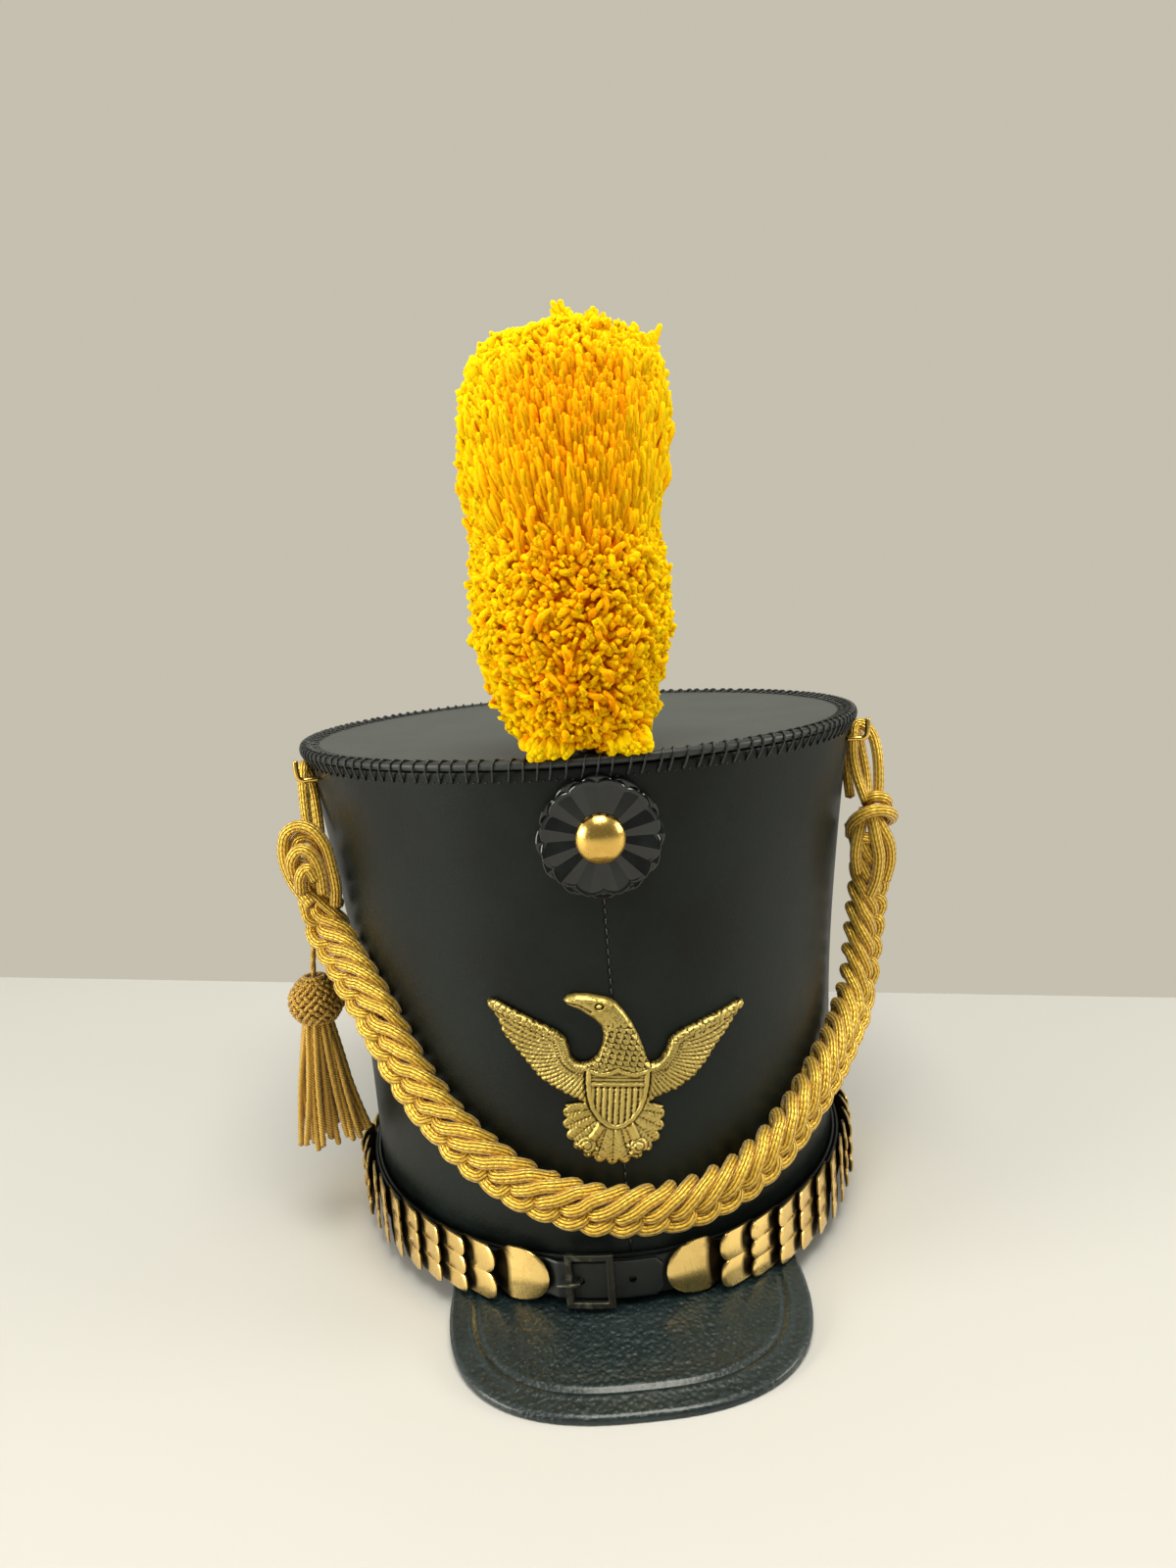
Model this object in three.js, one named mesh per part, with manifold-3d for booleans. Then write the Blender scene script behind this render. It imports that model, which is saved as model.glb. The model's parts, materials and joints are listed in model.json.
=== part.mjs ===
// A tall leather shako: a flared crown, a peak, brass chin scales, a plume and a festoon.
// Millimetres. The hat is drawn upright in its own frame (z up from near the rim, front towards
// -Y, wearer's left towards +X), then leaned back so that it stands on its peak and rear rim.
import * as THREE from 'three';
import { mergeVertices } from 'three/addons/utils/BufferGeometryUtils.js';
import { TessellateModifier } from 'three/addons/modifiers/TessellateModifier.js';
import Module from 'manifold-3d';

// ---------------------------------------------------------------- driving dimensions
const GAP = 0.3;                 // clearance between pieces that touch
const BASE_A = 86;               // half width of the crown at the head band
const BASE_B = 105;              // half length of the crown at the head band
const TOP_A = 97.7;              // half width at the top edge
const TOP_B = 107.5;             // half length at the top edge
const TOP_SHIFT = -7.5;          // how far the top sits in front of the base
const FLARE_START = 12;          // height where the flare begins
const WALL_TOP = 164.2;          // upper edge of the crown's wall
const FLARE_HEIGHT = 153.7;      // height over which the flare develops
const FLARE_POWER = 2.2;
const WALL = 2;                  // leather of the crown
const RIM = -1.2;                // lower edge of the crown's wall
const AROUND = 56;               // facets round the crown

const WELT_R = 1.4;              // cord stitched round the top edge
const DISC_THICKNESS = 2;

const BAND_TOP = 13;
const BAND_LEATHER = 1.2;
const STRAP = { leather: 1.2, low: 0.4, high: 12.4, end: 164, step: 8 };
const STRAP_OFFSET = GAP + BAND_LEATHER + GAP;                  // strap's back, out from the wall
const TONGUE_OFFSET = STRAP_OFFSET + STRAP.leather + GAP;       // tongue lying on the strap
const SCALE_OFFSET = TONGUE_OFFSET;                             // where a scale is fixed
const TONGUE = { end: 9.9, rise: -25, risen: -20, chamfer: 2, hole: 0.9, prongHole: -14, holeR: 1.2 };
const BUCKLE = { width: 13.7, height: 17.4, bar: 2, middle: -11.2, z: 7.2, thick: 1.8, lap: 3.6 };
const PRONG = { r: 0.7, tip: -20.4, z: 6.8, seat: 0.4, rise: 1.1 };

const PEAK = { half: 56.2, straight: 96, depth: 49.5, power: 2.5, drop: 14.2, leather: 2.4 };

// chin scales: s is the run along the head band from the middle of the front
const SCALE = {
  length: 17, brass: 0.8, free: 6.2, tipFree: 3.6, z: 7, tipGap: 15.7, taper: 4, fixed: 0.72, spoon: 0.95, lobe: 0.6,
};
const SCALE_HEIGHTS = [17.2, 18, 18.6, 19.2, 20.4];             // the rest are as the last
const SCALE_SIDES = [
  { name: 'right', side: 1, tip: 10.6, pitch: 10.55, count: 12 },
  { name: 'left', side: -1, tip: 23, pitch: 10.4, count: 11 },
];
const BOSS = { s: 158, r: 7.5, height: 3.4 };

const ROSETTE = { z: 144, r: 18.2, notch: 16.9, lobes: 20, thick: 2.6, back: 0.9 };
const BUTTON = { r: 7.2, height: 4.4 };

const EAGLE = { s: 0, z: 64.5, turn: 6, thick: 2.2 };
const EAGLE_WING = [
  { x: 9.4, z: -2.9 }, { x: 12.5, z: 0 }, { x: 18, z: 1.7 }, { x: 22.8, z: 5 }, { x: 26.6, z: 9.4 },
  { x: 30, z: 14.4 }, { x: 34, z: 19 }, { x: 36.4, z: 24 }, { x: 39.8, z: 26 },
  { x: 27, z: 21.8 }, { x: 18.4, z: 18.8 }, { x: 15.4, z: 16.8 }, { x: 13.9, z: 12.6 }, { x: 11.6, z: 10.4 },
];
const EAGLE_HEAD = [
  { x: 9.2, z: 10.8 }, { x: 6, z: 18 }, { x: 1, z: 26 }, { x: -3, z: 29.9 }, { x: -8.5, z: 31 },
  { x: -14.6, z: 30.6 }, { x: -16.4, z: 29.2 }, { x: -11.8, z: 26.4 }, { x: -7.6, z: 23.7 },
  { x: -4.9, z: 20 }, { x: -5, z: 15.4 }, { x: -7.6, z: 11.2 },
];
const EAGLE_TAIL = { x: -0.3, z: -8, rx: 15, rz: 14.2, feathers: 13, notch: 0.88, from: 8, to: -188 };

const HOOK = { angle: 65, z: 158.2, r: 0.9, reach: 8.6, crest: 4.8, tip: 167.4 };
const CORD_R = 1.9;              // one strand of the festoon
const BRAID_R = 5;
const KNOT = { r: 7, height: 14 };
const KNOTS = [
  { name: 'left', x: -93.4, y: -50, z: 138 },
  { name: 'right', x: 95.2, y: -50, z: 133 },
];
const LOOPS = [
  { name: 'left', dx: -1.9, dy: 4.1 },
  { name: 'right', dx: 2.85, dy: 3.6 },
];
const FESTOON = [
  { x: -93, y: -49.5, z: 130 }, { x: -91.6, y: -48, z: 119 }, { x: -89.8, y: -48.5, z: 108.6 },
  { x: -84.7, y: -55, z: 100.3 }, { x: -79.2, y: -64, z: 93.6 }, { x: -72.4, y: -73.1, z: 84.2 },
  { x: -62.9, y: -83.4, z: 68.2 }, { x: -54, y: -91, z: 57 }, { x: -41.8, y: -99.6, z: 46.3 },
  { x: -29.7, y: -105.4, z: 39 }, { x: -17, y: -109.3, z: 34 }, { x: -5, y: -111.2, z: 31.5 },
  { x: 7, y: -111.1, z: 30.3 }, { x: 18, y: -109.2, z: 30.2 }, { x: 29, y: -105.7, z: 31.8 },
  { x: 39.2, y: -100.9, z: 34.8 }, { x: 49, y: -94.6, z: 39.3 }, { x: 58, y: -87, z: 44.6 },
  { x: 67, y: -77.6, z: 50.6 }, { x: 75.2, y: -66.8, z: 56.3 }, { x: 82.6, y: -55.4, z: 61.2 },
  { x: 88.6, y: -46.2, z: 67.4 }, { x: 91.6, y: -42.6, z: 76.6 }, { x: 93.2, y: -42.8, z: 89.6 },
  { x: 94.4, y: -44.6, z: 104 }, { x: 95, y: -47.4, z: 116 }, { x: 95.2, y: -49.6, z: 125 },
];
const TASSEL = {
  cordR: 1, headR: 9.3, headHigh: 18, skirtTop: 8, skirtLow: 11, skirtHigh: 42.5, x: -99, y: -38, z: 78.7,
};
const TASSEL_ROUTE = [
  { x: -93.6, y: -41.2, z: 156 }, { x: -94, y: -39.6, z: 146 }, { x: -95.2, y: -37.8, z: 130 },
  { x: -96.6, y: -37.6, z: 110 }, { x: -98.6, y: -38, z: 94 }, { x: TASSEL.x, y: TASSEL.y, z: 88.4 },
];

const STEM = { y: -102, r: 3, boreR: 3.3, top: 190 };
const PLUME = [                  // half width and depth of the plume at each height
  { z: 167.9, x: -1, rx: 17, ry: 15 }, { z: 174, x: -2, rx: 22.5, ry: 20 }, { z: 186, x: -3, rx: 25, ry: 23 },
  { z: 200, x: -3, rx: 29.5, ry: 26 }, { z: 214, x: -2.5, rx: 29.5, ry: 26 }, { z: 230, x: -2, rx: 28, ry: 25 },
  { z: 246, x: -1, rx: 30.5, ry: 27 }, { z: 262, x: 0, rx: 30.5, ry: 27 }, { z: 276, x: 0.5, rx: 27, ry: 24 },
  { z: 285, x: 0, rx: 20, ry: 17 }, { z: 288.5, x: -1, rx: 10, ry: 9 },
];

// ---------------------------------------------------------------- materials
const finish = (color, roughness, metalness) =>
  () => new THREE.MeshStandardMaterial({ color, roughness, metalness, side: THREE.DoubleSide });
const crownLeather = finish(0x28302a, 0.45, 0);
const peakLeather = finish(0x1b2a30, 0.3, 0);
const strapLeather = finish(0x1c2220, 0.5, 0);
const blackIron = finish(0x2a2a26, 0.45, 0.6);
const scaleBrass = finish(0xbea05f, 0.32, 1);
const castBrass = finish(0xaa8c46, 0.45, 1);
const brightBrass = finish(0xe6af3c, 0.2, 1);
const patent = finish(0x0b0d0d, 0.12, 0);
const goldCord = finish(0xc89623, 0.5, 0.2);
const yellowWool = finish(0xfab90a, 0.9, 0);

// ---------------------------------------------------------------- the crown's surface
// The crown's oval at height z: half width a, half length b, middle c along Y.
function oval(z) {
  const rise = Math.max(0, (z - FLARE_START) / FLARE_HEIGHT);
  const flare = Math.pow(rise, FLARE_POWER);
  return {
    a: BASE_A + (TOP_A - BASE_A) * flare,
    b: BASE_B + (TOP_B - BASE_B) * flare,
    c: TOP_SHIFT * flare,
  };
}

// Angle from the front of the point that lies a run s along the oval at height z.
function angleAt(s, z) {
  const { a, b } = oval(z);
  const steps = 60;
  const side = Math.sign(s);
  let angle = 0;
  for (let step = 0; step < steps; step += 1) {
    const speed = Math.hypot(a * Math.cos(angle), b * Math.sin(angle));
    const half = angle + Math.abs(s) / steps / speed / 2;
    angle += Math.abs(s) / steps / Math.hypot(a * Math.cos(half), b * Math.sin(half));
  }
  return side * angle;
}

// The outward normal, level, at an angle from the front of the oval at height z.
function normalAt(angle, z) {
  const { a, b } = oval(z);
  return new THREE.Vector3(b * Math.sin(angle), -a * Math.cos(angle), 0).normalize();
}

// A point at run s, height z and distance out from the crown's outer face.
function onWall(s, z, out) {
  const { a, b, c } = oval(z);
  const angle = angleAt(s, z);
  const point = new THREE.Vector3(a * Math.sin(angle), c - b * Math.cos(angle), z);
  return point.addScaledVector(normalAt(angle, z), out);
}

// ---------------------------------------------------------------- shape helpers
function mesh(name, geometry, material) {
  const piece = new THREE.Mesh(geometry, material());
  piece.name = name;
  return piece;
}

function merged(geometry) {
  geometry.deleteAttribute('normal');
  geometry.deleteAttribute('uv');
  const whole = mergeVertices(geometry, 1e-4);
  whole.computeVertexNormals();
  return whole;
}

// A skin over rings of points, one ring after another. A closed skin joins the last ring to the
// first, as in a tube bent into a loop. An open one is capped at both ends.
function skin(rings, closed) {
  const count = rings[0].length;
  const points = rings.flat();
  const faces = [];
  const bands = closed ? rings.length : rings.length - 1;
  for (let band = 0; band < bands; band += 1) {
    const lower = band * count;
    const upper = ((band + 1) % rings.length) * count;
    for (let k = 0; k < count; k += 1) {
      const next = (k + 1) % count;
      faces.push(lower + k, lower + next, upper + next, lower + k, upper + next, upper + k);
    }
  }
  if (!closed) {
    for (const [ring, flip] of [[0, true], [rings.length - 1, false]]) {
      const middle = new THREE.Vector3();
      rings[ring].forEach((point) => middle.addScaledVector(point, 1 / count));
      points.push(middle);
      for (let k = 0; k < count; k += 1) {
        const here = ring * count + k;
        const next = ring * count + ((k + 1) % count);
        faces.push(...(flip ? [next, here, points.length - 1] : [here, next, points.length - 1]));
      }
    }
  }
  const geometry = new THREE.BufferGeometry().setFromPoints(points);
  geometry.setIndex(faces);
  geometry.computeVertexNormals();
  return geometry;
}

// A level ring of the crown's oval at height z, moved out by a distance.
function crownRing(z, out) {
  const { a, b, c } = oval(z);
  return Array.from({ length: AROUND }, (_, k) => {
    const angle = (2 * Math.PI * k) / AROUND;
    const point = new THREE.Vector3(a * Math.sin(angle), c - b * Math.cos(angle), z);
    return point.addScaledVector(normalAt(angle, z), out);
  });
}

// An elliptical ring about a point, level.
function levelRing(x, y, z, rx, ry, count) {
  return Array.from({ length: count }, (_, k) => {
    const angle = (2 * Math.PI * k) / count;
    return new THREE.Vector3(x + rx * Math.sin(angle), y - ry * Math.cos(angle), z);
  });
}

// One solid less others.
const wasm = await Module();
wasm.setup();

function solid(geometry) {
  const whole = merged(geometry.clone());
  const vertProperties = Float32Array.from(whole.getAttribute('position').array);
  const triVerts = Uint32Array.from(whole.index.array);
  return new wasm.Manifold(new wasm.Mesh({ numProp: 3, vertProperties, triVerts }));
}

function cut(geometry, cutters) {
  const left = cutters.reduce((body, cutter) => body.subtract(solid(cutter)), solid(geometry)).getMesh();
  const result = new THREE.BufferGeometry();
  result.setAttribute('position', new THREE.BufferAttribute(left.vertProperties, 3));
  result.setIndex(new THREE.BufferAttribute(left.triVerts, 1));
  result.computeVertexNormals();
  return result;
}

// A flat plate drawn in run and height, given a thickness, and bent round the crown so that its
// back is at back(run) out from the wall.
function bentPlate(shape, thickness, longestEdge, back) {
  const flat = new THREE.ExtrudeGeometry(shape, { depth: thickness, bevelEnabled: false, curveSegments: 6 });
  const fine = new TessellateModifier(longestEdge, 12).modify(flat);
  const place = fine.getAttribute('position');
  for (let k = 0; k < place.count; k += 1) {
    const run = place.getX(k);
    const point = onWall(run, place.getY(k), back(run) + place.getZ(k));
    place.setXYZ(k, point.x, point.y, point.z);
  }
  return merged(fine);
}

function outline(points) {
  return new THREE.Shape(points.map((point) => new THREE.Vector2(point.x, point.z)));
}

// A round tube along a smooth curve through the route's points.
function tube(route, radius, sides, steps) {
  const curve = new THREE.CatmullRomCurve3(route.map((point) => new THREE.Vector3(point.x, point.y, point.z)));
  const section = new THREE.Shape(Array.from({ length: sides }, (_, k) => {
    const angle = (2 * Math.PI * k) / sides;
    return new THREE.Vector2(radius * Math.cos(angle), radius * Math.sin(angle));
  }));
  const geometry = new THREE.ExtrudeGeometry(section, { steps, extrudePath: curve, bevelEnabled: false });
  return merged(geometry);
}

// A turned form standing on its own axis: radius and height of each point, low end first.
function turned(profile, sides) {
  return merged(new THREE.LatheGeometry(profile.map(([r, z]) => new THREE.Vector2(r, z)), sides));
}

// Stands a turned form, whose axis is Y, on the wall at a run and height, facing out.
function faceOut(piece, s, z, out) {
  piece.position.copy(onWall(s, z, out));
  piece.quaternion.setFromUnitVectors(new THREE.Vector3(0, 1, 0), normalAt(angleAt(s, z), z));
  return piece;
}

// ---------------------------------------------------------------- crown, top and band
function crown() {
  const levels = [RIM, 13, 45, 80, 110, 135, 152, WALL_TOP];
  const outer = levels.map((z) => crownRing(z, 0));
  const inner = levels.map((z) => crownRing(z, -WALL)).reverse();
  return mesh('crown_wall', skin([...outer, ...inner], true), crownLeather);
}

function top() {
  const low = WALL_TOP + GAP;
  const high = low + DISC_THICKNESS;
  const edge = -WELT_R - GAP;
  const lift = (z) => (point) => point.setZ(z);
  const disc = [low, high].map((z) => crownRing(WALL_TOP, edge).map(lift(z)));
  const weltZ = low + WELT_R;
  const turns = 6;
  const rings = Array.from({ length: turns }, (_, k) => {
    const angle = (2 * Math.PI * k) / turns + Math.PI / 2;
    return crownRing(WALL_TOP, WELT_R * Math.sin(angle)).map(lift(weltZ - WELT_R * Math.cos(angle)));
  });
  return [
    mesh('top_disc', skin(disc, false), crownLeather),
    mesh('top_welt', skin(rings, true), peakLeather),
  ];
}

function band() {
  const low = RIM + GAP;
  const corners = [[low, GAP], [low, GAP + BAND_LEATHER], [BAND_TOP, GAP + BAND_LEATHER], [BAND_TOP, GAP]];
  return mesh('base_band', skin(corners.map(([z, out]) => crownRing(z, out)), true), strapLeather);
}

// ---------------------------------------------------------------- peak
// The peak's free edge, seen from above: straight sides into a squared-off round front.
function peakEdge(fraction) {
  const angle = Math.PI * fraction;
  const roundX = PEAK.half * Math.sign(Math.cos(angle)) * Math.pow(Math.abs(Math.cos(angle)), 2 / PEAK.power);
  const roundY = -PEAK.straight - PEAK.depth * Math.pow(Math.sin(angle), 2 / PEAK.power);
  return { x: -roundX, y: roundY };
}

// The leather runs straight from its root under the rim to the free edge, and falls evenly with
// the distance between them.
function peak() {
  const columns = 28;
  const rows = 5;
  const corner = Math.asin(PEAK.half / BASE_A);
  const rootZ = RIM - GAP;
  const slope = (PEAK.drop - PEAK.leather + rootZ) / (PEAK.straight + PEAK.depth - BASE_B + WALL);
  const surface = (column, row, below) => {
    const fraction = column / columns;
    const angle = corner * (2 * fraction - 1);
    const out = row / rows;
    const root = new THREE.Vector3((BASE_A - WALL) * Math.sin(angle), -(BASE_B - WALL) * Math.cos(angle), 0);
    const edge = peakEdge(fraction);
    const width = Math.hypot(edge.x - root.x, edge.y - root.y);
    return root.lerp(new THREE.Vector3(edge.x, edge.y, 0), out).setZ(rootZ - slope * width * out - below);
  };
  const rings = [];
  for (let column = 0; column <= columns; column += 1) {
    const ring = [];
    for (let row = 0; row <= rows; row += 1) ring.push(surface(column, row, 0));
    for (let row = rows; row >= 0; row -= 1) ring.push(surface(column, row, PEAK.leather));
    rings.push(ring);
  }
  return mesh('peak', skin(rings, false), peakLeather);
}

// ---------------------------------------------------------------- straps and buckle
// A strip of strap leather from one run to another, its back at back(run) out from the wall.
function strip(runs, back, chamfer) {
  const rings = runs.map((run, k) => {
    const trim = chamfer && k === runs.length - 1 ? TONGUE.chamfer : 0;
    const low = STRAP.low + trim;
    const high = STRAP.high - trim;
    const inner = back(run);
    const outer = inner + STRAP.leather;
    return [[low, inner], [high, inner], [high, outer], [low, outer]].map(([z, out]) => onWall(run, z, out));
  });
  return skin(rings, false);
}

function stations(from, to) {
  const count = Math.ceil((to - from) / STRAP.step);
  return Array.from({ length: count + 1 }, (_, k) => THREE.MathUtils.lerp(from, to, k / count));
}

function straps() {
  const under = strip(stations(BUCKLE.middle - BUCKLE.lap, STRAP.end), () => STRAP_OFFSET, false);
  const rise = (run) => THREE.MathUtils.lerp(
    STRAP_OFFSET, TONGUE_OFFSET, THREE.MathUtils.smoothstep(run, TONGUE.rise, TONGUE.risen));
  const bend = [0, 0.25, 0.5, 0.75, 1].map((part) => THREE.MathUtils.lerp(TONGUE.rise, TONGUE.risen, part));
  const runs = [
    ...stations(-STRAP.end, TONGUE.rise).slice(0, -1), ...bend,
    ...stations(TONGUE.risen, TONGUE.end - TONGUE.chamfer).slice(1), TONGUE.end,
  ];
  const over = strip(runs, rise, true);
  const middle = (STRAP.low + STRAP.high) / 2;
  const holes = [TONGUE.hole, TONGUE.prongHole].map((run) => {
    const punch = new THREE.CylinderGeometry(TONGUE.holeR, TONGUE.holeR, STRAP.leather * 5, 12);
    const turn = new THREE.Quaternion().setFromUnitVectors(
      new THREE.Vector3(0, 1, 0), normalAt(angleAt(run, middle), middle));
    return punch.applyQuaternion(turn).translate(...onWall(run, middle, TONGUE_OFFSET));
  });
  return [
    mesh('strap_right', under, strapLeather),
    mesh('strap_left', cut(over, holes), strapLeather),
  ];
}

function buckle() {
  const back = TONGUE_OFFSET + STRAP.leather + GAP;
  const frame = (halfWide, halfHigh) => [
    { x: BUCKLE.middle - halfWide, z: BUCKLE.z - halfHigh }, { x: BUCKLE.middle + halfWide, z: BUCKLE.z - halfHigh },
    { x: BUCKLE.middle + halfWide, z: BUCKLE.z + halfHigh }, { x: BUCKLE.middle - halfWide, z: BUCKLE.z + halfHigh },
  ];
  const shape = outline(frame(BUCKLE.width / 2, BUCKLE.height / 2));
  shape.holes.push(outline(frame(BUCKLE.width / 2 - BUCKLE.bar, BUCKLE.height / 2 - BUCKLE.bar)));
  const front = back + BUCKLE.thick + GAP + PRONG.r;
  const prong = [
    onWall(TONGUE.prongHole, PRONG.z, TONGUE_OFFSET + PRONG.seat),
    onWall(TONGUE.prongHole - PRONG.seat, PRONG.z, back + PRONG.rise),
    onWall(BUCKLE.middle - BUCKLE.width / 2 + BUCKLE.bar + PRONG.seat, PRONG.z, front),
    onWall(PRONG.tip, PRONG.z, front - 0.1),
  ];
  return [
    mesh('buckle_frame', bentPlate(shape, BUCKLE.thick, 9, () => back), blackIron),
    mesh('buckle_prong', tube(prong, PRONG.r, 8, 10), blackIron),
  ];
}

// ---------------------------------------------------------------- chin scales
// One scale in run u from its free edge and height v from its middle. The free edge of all but
// the tip is cut into lobes, and the fixed end tapers.
function scaleOutline(height, lobes) {
  const half = height / 2;
  const shape = new THREE.Shape();
  const shoulder = SCALE.length - SCALE.taper;
  shape.moveTo(SCALE.length, -half * SCALE.fixed);
  shape.lineTo(SCALE.length, half * SCALE.fixed);
  shape.lineTo(shoulder, half);
  if (lobes === 1) {
    const spoon = half * SCALE.spoon;
    shape.lineTo(spoon, half);
    shape.absellipse(spoon, 0, spoon, half, Math.PI / 2, (3 * Math.PI) / 2, false);
  } else {
    const lobe = half / lobes;
    for (let k = 0; k < lobes; k += 1) {
      const middle = half - lobe * (2 * k + 1);
      shape.lineTo(lobe * SCALE.lobe, middle + lobe);
      shape.absellipse(lobe * SCALE.lobe, middle, lobe * SCALE.lobe, lobe, Math.PI / 2, (3 * Math.PI) / 2, false);
    }
  }
  shape.lineTo(shoulder, -half);
  shape.closePath();
  return shape;
}

function scales() {
  const pieces = [];
  for (const { name, side, tip, pitch, count } of SCALE_SIDES) {
    for (let k = 0; k < count; k += 1) {
      const free = k === 0 ? tip : tip + SCALE.tipGap + pitch * (k - 1);
      const lobes = k === 0 ? 1 : Math.min(k + 1, 3);
      const height = SCALE_HEIGHTS[Math.min(k, SCALE_HEIGHTS.length - 1)];
      const shape = scaleOutline(height, lobes);
      const proud = k === 0 ? SCALE.tipFree : SCALE.free;
      const flat = new THREE.ExtrudeGeometry(shape, { depth: SCALE.brass, bevelEnabled: false, curveSegments: 3 });
      const fine = new TessellateModifier(12, 6).modify(flat);
      const place = fine.getAttribute('position');
      for (let n = 0; n < place.count; n += 1) {
        const u = place.getX(n);
        const layer = side > 0 ? place.getZ(n) : SCALE.brass - place.getZ(n);
        const back = THREE.MathUtils.lerp(proud, SCALE_OFFSET, u / SCALE.length);
        const point = onWall(side * (free + u), SCALE.z + place.getY(n), back + layer);
        place.setXYZ(n, point.x, point.y, point.z);
      }
      pieces.push(mesh(`scale_${name}_${String(k + 1).padStart(2, '0')}`, merged(fine), scaleBrass));
    }
    const boss = turned([[0, 0], [BOSS.r, 0], [BOSS.r, 0.8], [BOSS.r * 0.7, BOSS.height * 0.8], [0, BOSS.height]], 20);
    pieces.push(faceOut(mesh(`side_boss_${name}`, boss, castBrass), side * BOSS.s, SCALE.z, SCALE_OFFSET));
  }
  return pieces;
}

// ---------------------------------------------------------------- front badge pieces
function rosette() {
  const points = [];
  const count = ROSETTE.lobes * 4;
  for (let k = 0; k < count; k += 1) {
    const angle = (2 * Math.PI * k) / count;
    const r = k % 4 === 2 ? ROSETTE.notch : ROSETTE.r;
    points.push({ x: r * Math.cos(angle), z: r * Math.sin(angle) });
  }
  const disc = new THREE.ExtrudeGeometry(outline(points), { depth: ROSETTE.thick, bevelEnabled: false });
  disc.rotateX(-Math.PI / 2);
  const button = turned([
    [0, 0], [BUTTON.r, 0], [BUTTON.r, 0.9], [BUTTON.r * 0.8, BUTTON.height * 0.72],
    [BUTTON.r * 0.4, BUTTON.height * 0.95], [0, BUTTON.height],
  ], 20);
  const lower = onWall(0, ROSETTE.z - ROSETTE.r, 0);
  const upper = onWall(0, ROSETTE.z + ROSETTE.r, 0);
  const lean = Math.atan2(lower.y - upper.y, upper.z - lower.z);
  const seat = onWall(0, ROSETTE.z, ROSETTE.back);
  const group = new THREE.Group();
  group.position.copy(seat);
  group.rotation.x = Math.PI + lean;
  const top = mesh('front_button', button, brightBrass);
  top.position.y = ROSETTE.thick + GAP;
  group.add(mesh('front_rosette', merged(disc), patent), top);
  return group;
}

// The eagle badge's outline, drawn upright about the middle of its shield.
function eagleOutline() {
  const tail = [];
  const steps = EAGLE_TAIL.feathers * 2;
  for (let k = 0; k <= steps; k += 1) {
    const angle = THREE.MathUtils.degToRad(
      THREE.MathUtils.lerp(EAGLE_TAIL.from, EAGLE_TAIL.to, k / steps));
    const reach = k % 2 === 1 ? 1 : EAGLE_TAIL.notch;
    tail.push({
      x: EAGLE_TAIL.x + EAGLE_TAIL.rx * reach * Math.cos(angle),
      z: EAGLE_TAIL.z + EAGLE_TAIL.rz * reach * Math.sin(angle),
    });
  }
  const rightWing = [...EAGLE_WING].reverse();
  const leftWing = EAGLE_WING.map(({ x, z }) => ({ x: -x, z }));
  return [...[...EAGLE_HEAD].reverse(), ...rightWing, ...tail, ...leftWing];
}

function eagle() {
  const turn = THREE.MathUtils.degToRad(-EAGLE.turn);
  const points = eagleOutline().map(({ x, z }) => ({
    x: EAGLE.s + x * Math.cos(turn) - z * Math.sin(turn),
    z: EAGLE.z + x * Math.sin(turn) + z * Math.cos(turn),
  }));
  return mesh('eagle_plate', bentPlate(outline(points), EAGLE.thick, 9, () => GAP), castBrass);
}

// ---------------------------------------------------------------- plume
function plume() {
  const count = 20;
  const outer = PLUME.map(({ z, x, rx, ry }) => levelRing(x, STEM.y, z, rx, ry, count)).reverse();
  const bore = [PLUME[0].z, STEM.top + GAP].map((z) => levelRing(0, STEM.y, z, STEM.boreR, STEM.boreR, count));
  const foot = WALL_TOP + 2 * GAP + DISC_THICKNESS;
  const stem = new THREE.CylinderGeometry(STEM.r, STEM.r, STEM.top - foot, 16).rotateX(Math.PI / 2);
  const post = mesh('plume_stem', merged(stem), strapLeather);
  post.position.set(0, STEM.y, (STEM.top + foot) / 2);
  const rings = [...outer, ...bore].map((ring) => ring.slice().reverse());
  return [mesh('plume', skin(rings, false), yellowWool), post];
}

// ---------------------------------------------------------------- festoon and tassel
// A hook of bent wire on the wall at one side: where it leaves the wall, and its outward direction.
function hookSeat(side) {
  const angle = side * THREE.MathUtils.degToRad(HOOK.angle);
  const { a, b, c } = oval(HOOK.z);
  return {
    seat: new THREE.Vector3(a * Math.sin(angle), c - b * Math.cos(angle), HOOK.z),
    out: normalAt(angle, HOOK.z),
  };
}

function hook(name, side) {
  const { seat, out } = hookSeat(side);
  const at = (reach, z) => seat.clone().addScaledVector(out, reach).setZ(z);
  const route = [
    at(GAP * 2, HOOK.z), at(HOOK.crest, HOOK.z), at(HOOK.reach - 0.7, HOOK.z + 0.9),
    at(HOOK.reach, HOOK.z + 3.4), at(HOOK.reach, HOOK.tip),
  ];
  return mesh(`cord_hook_${name}`, tube(route, HOOK.r, 8, 10), brightBrass);
}

// The cord goes up from the knot, over its hook and down again.
function hangingLoop(name, side, knot, { dx, dy }) {
  const { seat, out } = hookSeat(side);
  const crest = seat.clone().addScaledVector(out, HOOK.crest);
  const foot = knot.z + KNOT.height / 2 + 3 * GAP;
  const over = HOOK.z + HOOK.r + GAP + CORD_R;
  const leg = (from, spread, z) => ({ x: from.x + spread * dx, y: from.y + spread * dy, z });
  const route = [
    leg(knot, -1, foot), leg(crest, -1, over - 7), leg(crest, -0.72, over - 1.6), leg(crest, 0, over),
    leg(crest, 0.72, over - 1.6), leg(crest, 1, over - 7), leg(knot, 1, foot),
  ];
  return mesh(`hanging_loop_${name}`, tube(route, CORD_R, 8, 22), goldCord);
}

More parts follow.
